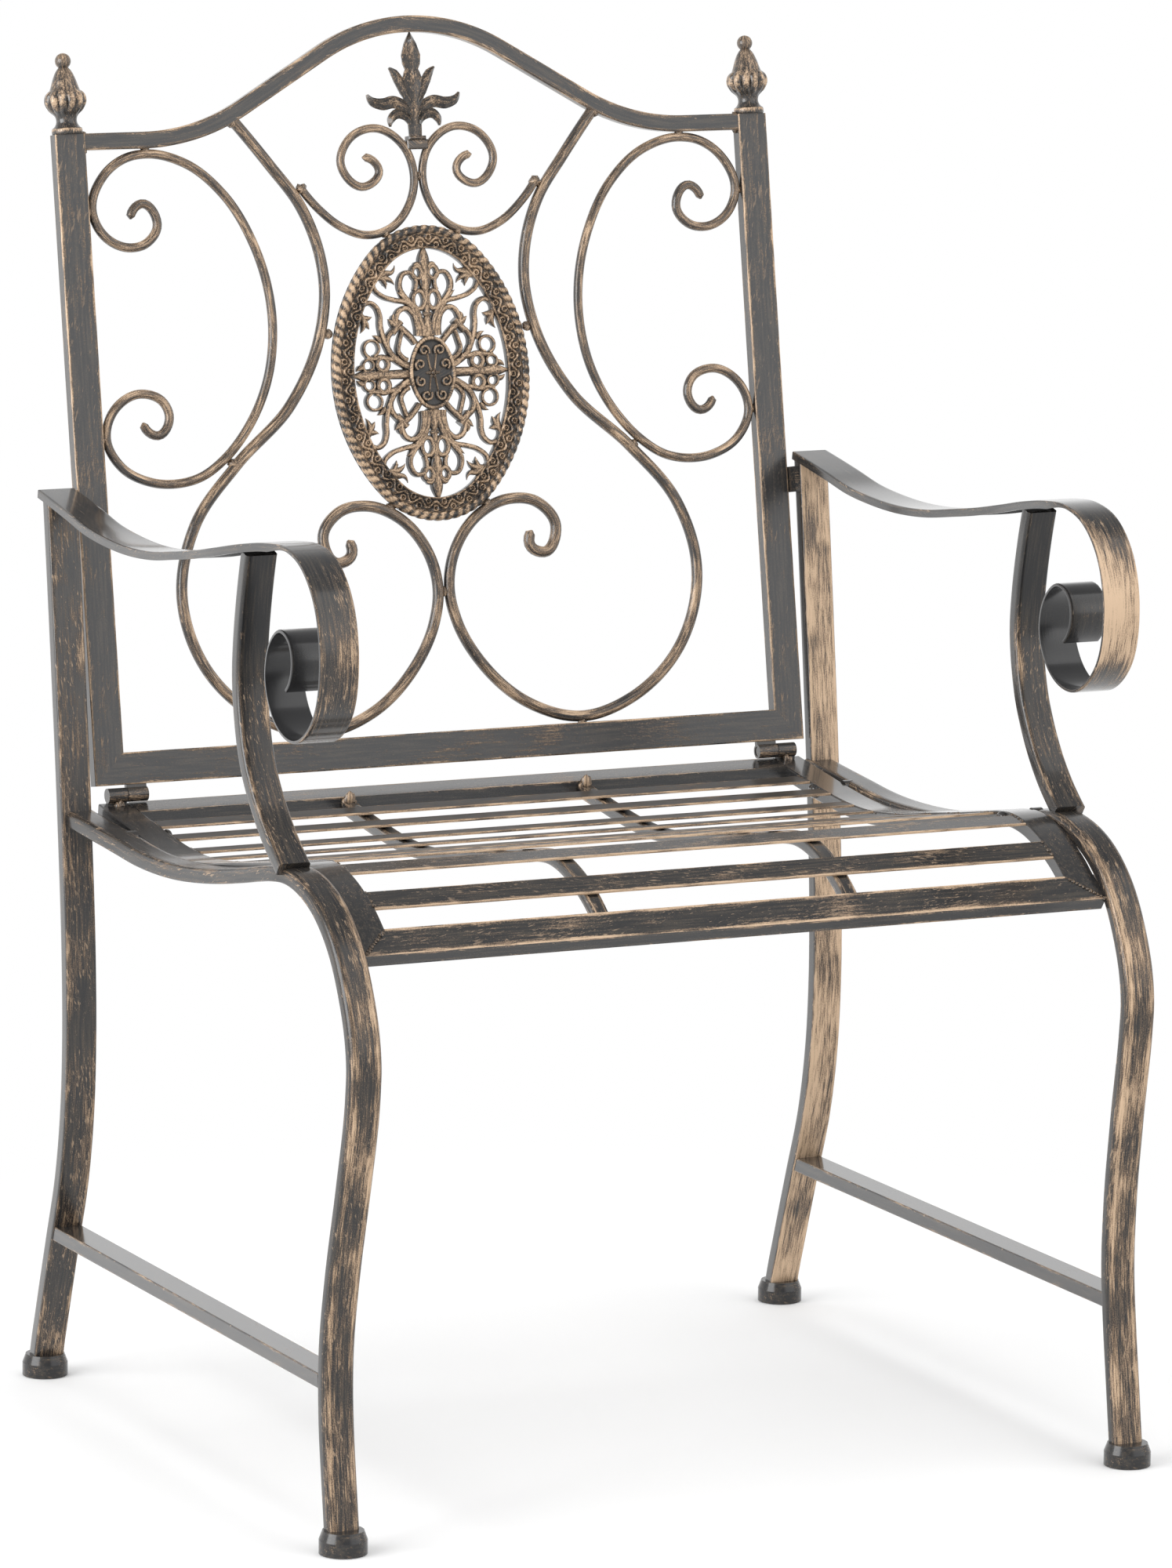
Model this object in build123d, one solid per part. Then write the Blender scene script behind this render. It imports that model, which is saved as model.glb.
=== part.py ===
from build123d import *
import os
from math import atan2, cos, degrees, radians, sin, sqrt, tan

# Garden chair of bent steel tube with a scrollwork back that folds down on two barrel hinges.
# It faces -Y and stands on four feet. The left half mirrors the right half.

# Tube, strip and fit sizes
tube_width = 22.0
tube_thickness = 10.0
tube_wall = 1.2
tube_corner = 1.0
show_corner = 4.0
weld_gap = 0.2
touch = 0.0001

# Side frames: (Y, Z) places on the centre line of each bent tube
frame_spread = 285.6
rear_post_line = ((229, 623.5), (214, 500), (203, 400), (195.2, 300), (194.5, 250), (198, 200),
                  (208, 150), (226, 100), (244, 50), (255.5, 16), (258.5, 3))
front_leg_line = ((206, 401.6), (140, 396.8), (80, 393), (20, 394.7), (-40, 401.8), (-100, 412.5),
                  (-140, 420.5), (-165, 423), (-190, 419.5), (-215, 409.5), (-240, 389), (-258, 361),
                  (-268, 335), (-270.8, 316), (-269.5, 298), (-258, 236), (-246.8, 176),
                  (-242.4, 130), (-245.2, 85), (-250, 50), (-257, 3))
arm_support_line = ((-113.6, 629.5), (-105, 596), (-99.5, 566), (-97.7, 543), (-101, 517),
                    (-108.6, 492), (-122, 469), (-141.5, 446.5), (-164, 427.5))
stretcher_width = 20.0
stretcher_bottom = 104.0
foot_diameter = 31.5
foot_height = 9.0
foot_shoulder = 6.0
foot_top_diameter = 27.0

# Arms: strip with turned-down edges, (Y, Z) places on its upper face, then the scroll
arm_width = 26.9
arm_shift = 1.05
arm_strip = 2.0
arm_edge_depth = 5.5
arm_edge_wall = 1.3
arm_line = ((233, 622.8), (182, 614.5), (149, 608.5), (116, 605.5), (72, 604.4), (30, 607), (-6, 612),
            (-42, 617.5), (-77, 624), (-114, 631), (-146, 635.5), (-175, 636.5))
arm_scroll_line = ((-201, 629.5), (-222, 611), (-234, 573), (-224, 533), (-190, 512.5), (-157, 524),
                   (-144, 549), (-152, 573), (-170, 583), (-186, 575), (-189, 560), (-179, 544))

# Seat: (Y, Z) places on the top of its side rails, then a straight front end
seat_gap = 7.0
seat_line = ((204, 409), (160, 403.2), (126, 399), (92, 395.9), (58, 395.4), (25, 398.4), (-39, 409),
             (-75, 415), (-110, 421.3), (-135, 425.6), (-150, 426.6), (-165, 425), (-182, 420.5),
             (-199, 413.5), (-214, 405.2), (-226.4, 396.2))
seat_front_edge = (-244, 383)
slat_places = (52, 84, 120, 155, 195, 235, 278, 325, 369, 414)
slat_width = 20.0
slat_thickness = 3.0
slat_drop = 1.0
strap_spread = 90.0
strap_width = 20.0
strap_thickness = 3.0
strap_gap = 0.3
bolt_diameter = 5.0
bolt_head_diameter = 10.4
bolt_head_height = 3.6
bolt_reach = 8.0
bolt_play = 0.2
bolt_places = ((136.8, 395.9), (-140, 421))
spacer_diameter = 12.0

# Back panel: lean, and sizes across (X) and up (S) its front face
back_lean = 9.61
back_foot = (202.2, 421.5)
back_gap = 4.4
back_height = 444.0
arch_height = 11.5
arch_depth = 8.0
arch_slope = 30.3
arch_rise = 75.0
arch_crown_radius = 134.0
arch_foot_radius = 150.0
arch_top_drop = 5.4

# Scrolls: (X, S) places on the centre line of each bent rod of the right half
main_rod = 8.0
side_rod = 6.5
top_rod = 6.0
rod_depth = 5.0
main_scroll_line = ((139.5, 453.5), (111.6, 419), (90.4, 390), (77.9, 354.7), (76, 335), (83.1, 296),
                    (107, 253), (150, 213.6), (183.6, 173.4), (196.3, 126.3), (182.2, 76), (139, 37),
                    (99.8, 26.4), (60.6, 37.5), (27.3, 65.6), (8.6, 98), (4.3, 120), (11, 148.5),
                    (31.5, 172.2), (54.7, 181), (76.3, 177.2), (88.8, 160), (78.2, 142.5),
                    (67.8, 148.5), (70.4, 158))
side_scroll_line = ((217, 385), (208.6, 395.3), (197.4, 381), (207.6, 367.5), (217.4, 365.5), (235, 372.4),
                    (244.6, 391), (235, 415), (217.4, 427), (203, 429.2), (174.3, 422), (146.9, 399.4),
                    (127.3, 365.5), (116.6, 308), (123, 271), (143, 234.5), (157, 219.6), (178.2, 206.2),
                    (195, 203), (213.5, 204.8), (235, 216.4), (244.6, 236), (238, 254.7), (217, 265.5),
                    (200.8, 258.6), (197.4, 248), (206.7, 236.5), (217, 246))
top_scroll_line = ((89.4, 402.6), (76.3, 387), (60.6, 374.6), (41, 368.2), (21.4, 373.6), (7.6, 389.4),
                   (3.2, 409), (9.2, 428.3), (31.2, 442), (50, 435.5), (58, 418), (41, 401.8),
                   (29.4, 412.5), (41.6, 422))

# Castings on the back
medallion_rise = 271.0
rim_half_width = 75.0
rim_half_height = 103.0
rim_end_radius = 57.0
rim_band = 14.6
rim_depth = 9.0
rim_round = 2.5
filigree_depth = 4.0
filigree_strand = 2.4
boss_half_width = 17.5
boss_half_height = 25.5
boss_end_radius = 13.5
boss_depth = 3.0
boss_round = 2.0
spear_root = 4.2
spear_waist = 2.2
spear_knob = 3.2
spear_tip = 1.1
spear_neck = 8.0
spear_head = 16.0
curls = ((5.6, 53, 5.2), (11.6, 62.2, 6.6), (6.2, 72.4, 4.9), (32, 61.5, 7), (16.2, 43.2, 7),
         (38, 8, 5.2), (47.6, 8.2, 5.2), (43.6, 19.6, 7.2), (43.4, 44.6, 6.6), (22, 34, 4.6))
stems = (((3, 26), (7, 41), (16, 51), (32, 55.6)), ((16, 10), (25, 18), (33, 28), (36.4, 44)),
         ((10, 21.5), (15, 27.5), (21, 33)))
fleur_depth = 7.0
fleur_base = 431.4
fleur_outline = ((7.4, 0), (6.6, 8.6), (5.6, 9.2), (6.4, 14), (10, 18.4), (15, 18.4), (18.2, 15.4),
                 (21, 19.6), (20.8, 23.4), (29, 25.4), (34.6, 32.6), (33, 35), (28.6, 31), (16, 33.4),
                 (6, 30.6), (6.8, 37.4), (10.2, 43.6), (15.6, 51.8), (7, 51), (6.4, 58), (4, 68.4))
fleur_tip = 1.6

# Finials: (radius, height above the upright) down one side of the turned shape
finial_shape = ((10.6, 0), (10.6, 4), (7, 8.5), (7, 11.5), (11.5, 17), (13.5, 22.5), (12, 28), (9.8, 30),
                (9.8, 31.5), (4, 46.5), (4.6, 49), (5, 51), (3.6, 54.4))
finial_top = 55.7

# Hinges and the lugs that hold the back up
hinge_axis = (202.4, 414.5)
barrel_diameter = 10.0
pin_diameter = 6.9
pin_play = 0.05
barrel_inset = 5.6
seat_barrel_length = 14.0
back_barrel_length = 15.0
barrel_end_gap = 0.5
barrel_rib = 3.6
barrel_foot_depth = 6.0
lug_thickness = 3.0
lug_side_gap = 0.4
lug_rear_gap = 0.3
lug_low = 175.0
lug_high = 193.0
lug_forward = 10.0
lug_overlap = 18.0
back_bolt_diameter = 5.0
back_bolt_hole = 7.0
back_bolt_head = 10.0
back_bolt_head_height = 4.0
back_bolt_reach = 6.0

# Sizes worked out from the ones above
frame_inner = frame_spread - tube_width / 2
seat_half = frame_inner - seat_gap
seat_inner = seat_half - tube_width
back_half = frame_inner - back_gap
back_inner = back_half - tube_width
upright_axis = back_half - tube_width / 2
barrel_outer_end = seat_half - barrel_inset
barrel_split = barrel_outer_end - seat_barrel_length
barrel_inner_end = barrel_split - back_barrel_length


def side_plane(x):
    """Drawing plane of a side frame: its x is Y, its y is Z, and X comes out of it."""
    return Plane(origin=(x, 0, 0), x_dir=(0, 1, 0), z_dir=(1, 0, 0))


def on_side(shape, x):
    return side_plane(x).location * shape


back_plane = Plane(origin=(0, *back_foot), x_dir=(1, 0, 0),
                   z_dir=(0, -cos(radians(back_lean)), sin(radians(back_lean))))


def on_back(shape):
    return back_plane.location * shape


def tangent_arc(start, end, heading):
    """Arc between two places that leaves the first along the heading, or a line if it is straight."""
    if heading.cross(end - start).length < touch * (end - start).length:
        return Line(start, end)
    return TangentArc(start, end, tangent=heading)


def bend(places, last_heading=None):
    """Arcs of a smooth line through the places: two tangent arcs to each span."""
    spots = [Vector(*place) for place in places]
    chords = [far - near for near, far in zip(spots, spots[1:])]
    headings = []
    for before, after in zip(chords, chords[1:]):
        blend = before.normalized() * after.length + after.normalized() * before.length
        headings.append(blend.normalized())
    first, last = chords[0].normalized(), chords[-1].normalized()
    headings.insert(0, first * (2 * first.dot(headings[0])) - headings[0])
    headings.append(last_heading or last * (2 * last.dot(headings[-1])) - headings[-1])
    arcs = []
    for near, far, leave, arrive in zip(spots, spots[1:], headings, headings[1:]):
        chord = far - near
        along = chord.dot(leave + arrive)
        turn = 2 * (1 - leave.dot(arrive))
        if turn < touch:
            reach = chord.dot(chord) / (2 * along)
        else:
            reach = (sqrt(along ** 2 + turn * chord.dot(chord)) - along) / turn
        middle = (near + far + (leave - arrive) * reach) * 0.5
        arcs.append(tangent_arc(near, middle, leave))
        arcs.append(tangent_arc(middle, far, arcs[-1] % 1))
    return arcs


def swept(section, path):
    """Section carried along a flat path: its y points to the right of the path, its x out of the page."""
    return sweep(Plane(origin=path @ 0, x_dir=(0, 0, 1), z_dir=path % 0) * section, path=path)


def rounded(width, thickness, show_radius, hidden_radius):
    """Rectangle with its show face, at the greater y, rounded more than its hidden face."""
    shape = Rectangle(width, thickness)
    shape = fillet(shape.vertices().filter_by(lambda corner: corner.Y > 0), show_radius)
    return fillet(shape.vertices().filter_by(lambda corner: corner.Y < -thickness / 2 + touch), hidden_radius)


def tube(path, show_radius, sink=0):
    """Bent tube: its full body, which neighbours are cut with, and its bore."""
    body = rounded(tube_width, tube_thickness, show_radius, tube_corner)
    bore = rounded(tube_width - 2 * tube_wall, tube_thickness - 2 * tube_wall,
                   max(show_radius - tube_wall, tube_corner / 2), tube_corner / 2)
    drop = Pos(0, -sink)
    return swept(drop * body, path), swept(drop * bore, path)


def rod(places, diameter):
    """Round rod bent along a line in the back panel's middle plane."""
    path = Wire(bend(places))
    section = Plane(origin=path @ 0, z_dir=path % 0) * Circle(diameter / 2)
    return Pos(0, 0, -rod_depth) * sweep(section, path=path)


def slab(outline, back, front):
    """Flat outline of the back panel given a thickness between two depths."""
    return extrude(Pos(0, 0, back) * outline, front - back, dir=(0, 0, 1))


def along_x(shape, start, end):
    """Outline on a side plane carried along X."""
    return on_side(extrude(shape, end - start, dir=(0, 0, 1)), start)


nodes = {}


def add_pair(name, right):
    nodes[name + "_right"] = right
    nodes[name + "_left"] = mirror(right, about=Plane.YZ)


# Side frames
post_body, post_bore = tube(Wire(bend(rear_post_line)), tube_corner)
leg_body, leg_bore = tube(Wire(bend(front_leg_line)), show_corner)
support_body, support_bore = tube(Wire(bend(arm_support_line)), show_corner)

arm_arcs = bend(arm_line + arm_scroll_line)
arm_level = Wire(arm_arcs[:2 * len(arm_line) - 2])
arm = swept(Pos(arm_shift, -arm_strip / 2) * Rectangle(arm_width, arm_strip), Wire(arm_arcs))
for edge_side in (-1, 1):
    edge_place = arm_shift + edge_side * (arm_width - arm_edge_wall) / 2
    edge_section = Pos(edge_place, -arm_edge_depth / 2) * Rectangle(arm_edge_wall, arm_edge_depth)
    arm += swept(edge_section, arm_level)
arm_cover = swept(Pos(arm_shift, arm_edge_depth - arm_strip) * Rectangle(arm_width, 2 * arm_edge_depth), arm_level)

post = post_body - post_bore - arm_cover - arm
leg = leg_body - leg_bore - post_body
support = support_body - support_bore - arm_cover - arm - leg_body

stretcher_middle = stretcher_bottom + tube_thickness / 2
stretcher_length = rear_post_line[-1][0] - front_leg_line[-1][0]
stretcher_body = Pos(0, stretcher_middle) * Box(stretcher_length, tube_thickness, stretcher_width)
stretcher_bore = Pos(0, stretcher_middle) * Box(stretcher_length, tube_thickness - 2 * tube_wall,
                                                stretcher_width - 2 * tube_wall)
stretcher = fillet(stretcher_body.edges().filter_by(Axis.X), tube_corner) - stretcher_bore
stretcher = (stretcher - post_body - leg_body).solids().sort_by(lambda piece: piece.volume)[-1]


def foot_cap(place, tube_body):
    """Round moulded cap with a socket for the end of its tube."""
    top = foot_height + foot_shoulder
    outline = Polygon((0, 0), (foot_diameter / 2, 0), (foot_diameter / 2, foot_height),
                      (foot_top_diameter / 2, top), (0, top), align=None)
    cap = revolve(outline, Axis.Y)
    return Pos(place, 0, 0) * cap - tube_body


# Seat frame
seat_end = Vector(*seat_front_edge)
seat_bend_end = Vector(*seat_line[-1])
front_heading = (seat_end - seat_bend_end).normalized()
front_normal = Vector(front_heading.Y, -front_heading.X)
seat_path = Wire(bend(seat_line, front_heading))
seat_rail_body, seat_rail_bore = tube(seat_path, tube_corner, tube_thickness / 2)
rear_heading = seat_path % 0
rear_normal = Vector(rear_heading.Y, -rear_heading.X)


def rail_outline(corner, heading, normal, margin=0.0):
    """Cross-section of a seat rail: from its top corner back along the heading, and down."""
    near = corner + heading * margin - normal * margin
    far = corner + heading * (tube_width - margin) - normal * margin
    down = normal * (tube_thickness - 2 * margin)
    return Polygon(*[tuple(corner)[:2] for corner in (near, far, far - down, near - down)], align=None)


front_plane = Plane(origin=(0, seat_end.X, seat_end.Y), x_dir=(1, 0, 0),
                    z_dir=(0, front_normal.X, front_normal.Y))


def on_front(shape):
    return front_plane.location * shape


def front_block(*corners):
    return on_front(extrude(Polygon(*corners, align=None), -tube_thickness))


front_rail = front_block((-seat_half, 0), (seat_half, 0), (seat_inner, tube_width), (-seat_inner, tube_width))
front_rail_body = front_rail
front_rail -= along_x(rail_outline(seat_end, front_heading * -1, front_normal, tube_wall), -seat_half, seat_half)

seat_rail_middle = seat_half - tube_width / 2
mitre = front_block((seat_half, 0), (seat_half, tube_width + touch), (seat_inner, tube_width + touch))
mitre_bore = on_front(Pos(seat_rail_middle, 0, -tube_thickness / 2) *
                      Box(tube_width - 2 * tube_wall, 3 * tube_width, tube_thickness - 2 * tube_wall))
straight_length = (seat_end - seat_bend_end).length
straight = front_block((seat_half, tube_width), (seat_half, straight_length),
                       (seat_inner, straight_length), (seat_inner, tube_width))
side_rail_body = on_side(seat_rail_body, seat_rail_middle) + mitre
if straight_length > tube_width:
    side_rail_body += straight
side_rail = side_rail_body - on_side(seat_rail_bore, seat_rail_middle) - mitre_bore

rear_corner = seat_path @ 0
rear_rail_body = along_x(rail_outline(rear_corner, rear_heading, rear_normal), -seat_inner, seat_inner)
rear_rail = rear_rail_body - along_x(rail_outline(rear_corner, rear_heading, rear_normal, tube_wall),
                                     -seat_inner, seat_inner)


def slat(distance):
    """Flat slat across the seat, at a distance along the side rails from their rear end."""
    share = distance / seat_path.length
    place, heading = seat_path @ share, seat_path % share
    face = Plane(origin=(0, place.X, place.Y), x_dir=(1, 0, 0), z_dir=(0, heading.Y, -heading.X))
    bar = Box(2 * seat_inner, slat_width, slat_thickness)
    bar = fillet(bar.edges().filter_by(Axis.X), slat_thickness / 3)
    return face.location * Pos(0, 0, -slat_drop - slat_thickness / 2) * bar


strap_drop = slat_drop + slat_thickness + strap_gap + strap_thickness / 2
strap_path = Wire(seat_path.edges() + [Line(seat_bend_end, seat_end)])
strap = swept(Pos(0, -strap_drop) * Rectangle(strap_width, strap_thickness), strap_path)
strap = on_side(strap, strap_spread) - front_rail_body - rear_rail_body
strap = strap.solids().sort_by(lambda piece: piece.volume)[-1]

# Bolts and spacer rings between the seat and the side frames
seat_bolts = []
seat_spacers = []
for place in bolt_places:
    axis = Pos(*place)
    head = Pos(*place, -bolt_head_height) * extrude(Circle(bolt_head_diameter / 2), bolt_head_height)
    head = fillet(head.faces().sort_by(Axis.Z)[0].edges(), bolt_head_height * 0.8)
    shank_end = frame_inner + bolt_reach
    bolt = on_side(head, seat_inner) + along_x(axis * Circle(bolt_diameter / 2), seat_inner, shank_end)
    hole = along_x(axis * Circle(bolt_diameter / 2 + bolt_play), seat_inner - 1, shank_end + 1)
    ring = along_x(axis * Circle(spacer_diameter / 2), seat_half, frame_inner) - hole
    seat_bolts += [bolt, mirror(bolt, about=Plane.YZ)]
    seat_spacers += [ring, mirror(ring, about=Plane.YZ)]
    side_rail -= hole
    leg -= Pos(*place, -tube_width / 2) * Cylinder(bolt_diameter / 2 + bolt_play, 2 * bolt_reach)

# Back panel frame
back_bolt_rise = (lug_low + lug_high) / 2
bore_front = -tube_wall
bore_back = tube_wall - tube_thickness
upright = slab(Polygon((back_half, 0), (back_half, back_height), (back_inner, back_height),
                       (back_inner, tube_width), align=None), -tube_thickness, 0)
upright = fillet(upright.edges().filter_by(Axis.Y), tube_corner)
upright -= slab(Pos(upright_axis, back_height / 2) *
                Rectangle(tube_width - 2 * tube_wall, 2 * back_height), bore_back, bore_front)
upright -= slab(Pos(upright_axis, back_bolt_rise) * Circle(back_bolt_hole / 2),
                -tube_thickness - 1, bore_back + 1)
bottom_rail = slab(Polygon((-back_half, 0), (back_half, 0), (back_inner, tube_width),
                           (-back_inner, tube_width), align=None), -tube_thickness, 0)
bottom_rail = fillet(bottom_rail.edges().filter_by(Axis.X), tube_corner)
bottom_rail -= slab(Pos(0, tube_width / 2) * Rectangle(2 * back_half, tube_width - 2 * tube_wall),
                    bore_back, bore_front)

# The arch: a straight-sided peak with rounded crown and feet
arch_foot = back_height - arch_top_drop
arch_peak = arch_foot + arch_rise + arch_crown_radius * (1 / cos(radians(arch_slope)) - 1)
arch_corner = (arch_peak - arch_foot) / tan(radians(arch_slope))
arch_path = FilletPolyline((-back_inner, arch_foot), (-arch_corner, arch_foot), (0, arch_peak),
                           (arch_corner, arch_foot), (back_inner, arch_foot),
                           radius=[arch_foot_radius, arch_crown_radius, arch_foot_radius])
arch_section = Rectangle(arch_depth, arch_height)
arch_section = fillet(arch_section.vertices(), tube_corner)
arch = Pos(0, 0, -tube_thickness / 2) * swept(arch_section, arch_path)


def finial():
    """Turned knob: flange, neck, bulb, cone and ball."""
    outline = Polyline((0, 0), *finial_shape[:2])
    outline += Spline(*finial_shape[1:7])
    outline += Polyline(*finial_shape[6:10])
    outline += ThreePointArc(finial_shape[9], finial_shape[11], finial_shape[12])
    outline += Polyline(finial_shape[12], (0, finial_top), (0, 0))
    knob = revolve(make_face(outline), Axis.Y)
    return Pos(upright_axis, back_height, -tube_thickness / 2) * knob


# Castings on the back
def oval(half_width, half_height, end_radius):
    """Upright oval of four tangent arcs about the medallion's centre."""
    side_radius = half_width ** 2 + half_height ** 2 - 2 * half_height * end_radius
    side_radius /= 2 * (half_width - end_radius)
    end_rise, side_shift = half_height - end_radius, side_radius - half_width
    meet = degrees(atan2(end_rise, side_shift))
    arcs = [CenterArc((0, end_rise), end_radius, meet, 180 - 2 * meet),
            CenterArc((side_shift, 0), side_radius, 180 - meet, 2 * meet),
            CenterArc((0, -end_rise), end_radius, 180 + meet, 180 - 2 * meet),
            CenterArc((-side_shift, 0), side_radius, -meet, 2 * meet)]
    return Pos(0, medallion_rise) * make_face(arcs)


rim_inner_width = rim_half_width - rim_band
rim_inner_height = rim_half_height - rim_band
rim_outline = oval(rim_half_width, rim_half_height, rim_end_radius)
rim_opening = oval(rim_inner_width, rim_inner_height, rim_end_radius - rim_band)
rim = slab(rim_outline, -rim_depth, 0) - slab(rim_opening, -rim_depth, 0)
rim = fillet(rim.faces().filter_by(Axis.Z).edges(), rim_round)
filigree_front = (filigree_depth - rim_depth) / 2
boss = slab(oval(boss_half_width, boss_half_height, boss_end_radius), filigree_front, filigree_front + boss_depth)
boss = fillet(boss.faces().sort_by(Axis.Z)[-1].edges(), boss_round)


def spear(root, tip):
    """Pointed stem from the boss to the rim, along +X."""
    middle = (root + tip) / 2
    edge = ((root, spear_root), (middle - spear_neck, spear_waist), (middle, spear_knob),
            (tip - spear_head, spear_root), (tip, spear_tip))
    return Polygon(*[(x, -y) for x, y in edge], *reversed(edge), align=None)


def lace_slab(shape):
    """Flat shape of the filigree, drawn about the medallion's centre, given its thickness."""
    return slab(Pos(0, medallion_rise) * shape, filigree_front - filigree_depth, filigree_front)


lace = []
for side in (1, -1):
    for end in (1, -1):
        for x, rise, radius in curls:
            lace.append(lace_slab(Pos(side * x, end * rise) * (Circle(radius) - Circle(radius - filigree_strand))))
        for places in stems:
            line = Wire(bend([(side * x, end * rise) for x, rise in places]))
            lace.append(lace_slab(trace(line, filigree_strand)))
for turn in (0, 180):
    lace.append(lace_slab(Rot(0, 0, turn) * spear(boss_half_width, rim_inner_width - weld_gap)))
    lace.append(lace_slab(Rot(0, 0, turn + 90) * spear(boss_half_height, rim_inner_height - weld_gap)))
boss_seat = slab(oval(boss_half_width + filigree_strand, boss_half_height + filigree_strand,
                      boss_end_radius + filigree_strand), filigree_front - filigree_depth, filigree_front)
filigree = boss_seat.fuse(*lace)

arch_underside = arch_foot + arch_rise - arch_height / 2
fleur_scale_top = arch_underside - weld_gap - fleur_base
fleur_right = [(x, s) for x, s in fleur_outline] + [(fleur_tip, fleur_scale_top)]
fleur_shape = Polygon(*fleur_right, *[(-x, s) for x, s in reversed(fleur_right)], align=None)
fleur = slab(Pos(0, fleur_base) * fleur_shape, -rod_depth - fleur_depth / 2, -rod_depth + fleur_depth / 2)

main_scroll = rod(main_scroll_line, main_rod) - arch
main_scroll = main_scroll.solids().sort_by(lambda piece: piece.volume)[-1]
side_scroll = rod(side_scroll_line, side_rod)
top_scroll = rod(top_scroll_line, top_rod)


# Hinges
def barrel(start, end, radius):
    return along_x(Pos(*hinge_axis) * Circle(radius), start, end)


pin_radius = pin_diameter / 2
pin = barrel(barrel_inner_end + barrel_end_gap, barrel_outer_end, pin_radius)
back_barrel_end = barrel_split - barrel_end_gap / 2
seat_barrel_start = barrel_split + barrel_end_gap / 2
axis_on_back = back_plane.to_local_coords(Vector(0, *hinge_axis))
rib = Pos((barrel_inner_end + back_barrel_end) / 2, axis_on_back.Y / 2, axis_on_back.Z - barrel_rib / 4)
rib *= Box(back_barrel_end - barrel_inner_end, -axis_on_back.Y, barrel_rib)
back_knuckle = barrel(barrel_inner_end, back_barrel_end, barrel_diameter / 2) + on_back(rib)
back_knuckle -= barrel(barrel_inner_end - 1, back_barrel_end + 1, pin_radius + pin_play)
foot_block = Pos(hinge_axis[0], hinge_axis[1] - barrel_foot_depth / 2) * Rectangle(barrel_rib, barrel_foot_depth)
seat_knuckle = barrel(seat_barrel_start, barrel_outer_end, barrel_diameter / 2)
seat_knuckle += along_x(foot_block, seat_barrel_start, barrel_outer_end)
seat_knuckle -= barrel(seat_barrel_start - 1, barrel_outer_end + 1, pin_radius)
seat_knuckle -= side_rail_body

# Lugs behind the back's uprights, with their bolts
lug_face = -tube_thickness - lug_rear_gap
lug_back = lug_face - lug_thickness
lug_side = slab(Polygon((back_half + lug_side_gap, lug_low), (frame_inner, lug_low), (frame_inner, lug_high),
                        (back_half + lug_side_gap, lug_high), align=None), lug_back, lug_forward)
lug_rear = slab(Polygon((frame_inner - lug_overlap - back_gap, lug_low), (frame_inner, lug_low),
                        (frame_inner, lug_high), (frame_inner - lug_overlap - back_gap, lug_high),
                        align=None), lug_back, lug_face)
bolt_axis = Pos(upright_axis, back_bolt_rise)
lug = lug_side + lug_rear - slab(bolt_axis * Circle(back_bolt_diameter / 2 + bolt_play), lug_back - 1, lug_face + 1)
back_bolt_end = -tube_thickness + back_bolt_reach
back_bolt_cap = slab(bolt_axis * Circle(back_bolt_head / 2), lug_back - back_bolt_head_height, lug_back)
back_bolt_cap = fillet(back_bolt_cap.faces().sort_by(Axis.Z)[0].edges(), back_bolt_head_height / 2)
back_bolt = on_back(back_bolt_cap + slab(bolt_axis * Circle(back_bolt_diameter / 2), lug_back, back_bolt_end))

# Every node, by name
add_pair("rear_post", on_side(post, frame_spread))
add_pair("front_leg", on_side(leg, frame_spread))
add_pair("arm", on_side(arm, frame_spread))
add_pair("arm_support", on_side(support, frame_spread))
add_pair("side_stretcher", on_side(stretcher, frame_spread))
add_pair("foot_cap_front", on_side(foot_cap(front_leg_line[-1][0], leg_body), frame_spread))
add_pair("foot_cap_rear", on_side(foot_cap(rear_post_line[-1][0], post_body), frame_spread))
add_pair("seat_side_rail", side_rail)
add_pair("seat_strap", strap)
add_pair("seat_knuckle", seat_knuckle)
add_pair("hinge_pin", pin)
add_pair("back_lug", on_back(lug))
add_pair("back_upright", on_back(upright))
add_pair("finial", on_back(finial()))
add_pair("main_scroll", on_back(main_scroll))
add_pair("side_scroll", on_back(side_scroll))
add_pair("top_scroll", on_back(top_scroll))
add_pair("back_knuckle", back_knuckle)
nodes["seat_front_rail"] = front_rail
nodes["seat_rear_rail"] = rear_rail
for number, distance in enumerate(slat_places, 1):
    nodes[f"seat_slat_{number:02d}"] = slat(distance)
nodes["seat_bolts"] = Compound([piece for bolt in seat_bolts for piece in bolt.solids()])
nodes["seat_spacers"] = Compound([piece for ring in seat_spacers for piece in ring.solids()])
nodes["back_bolts"] = Compound([*back_bolt.solids(), *mirror(back_bolt, about=Plane.YZ).solids()])
nodes["back_bottom_rail"] = on_back(bottom_rail)
nodes["back_top_arch"] = on_back(arch)
nodes["medallion_rim"] = on_back(rim)
nodes["medallion_filigree"] = on_back(filigree)
nodes["medallion_boss"] = on_back(boss)
nodes["fleur_ornament"] = on_back(fleur)

# The origin lies on the floor, in the middle of the chair's length and width
box = Compound([piece for shape in nodes.values() for piece in shape.solids()]).bounding_box()
to_origin = Pos(-(box.min.X + box.max.X) / 2, -(box.min.Y + box.max.Y) / 2, -box.min.Z)
print("moved to the origin by", to_origin.position, "hinge axis before that", hinge_axis)

os.makedirs("parts", exist_ok=True)
for name, shape in nodes.items():
    export_step(to_origin * shape, f"parts/{name}.step")
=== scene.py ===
from math import cos, pi, radians, sin
import bpy
import numpy as np
from mathutils import Matrix, Vector, noise


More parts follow.
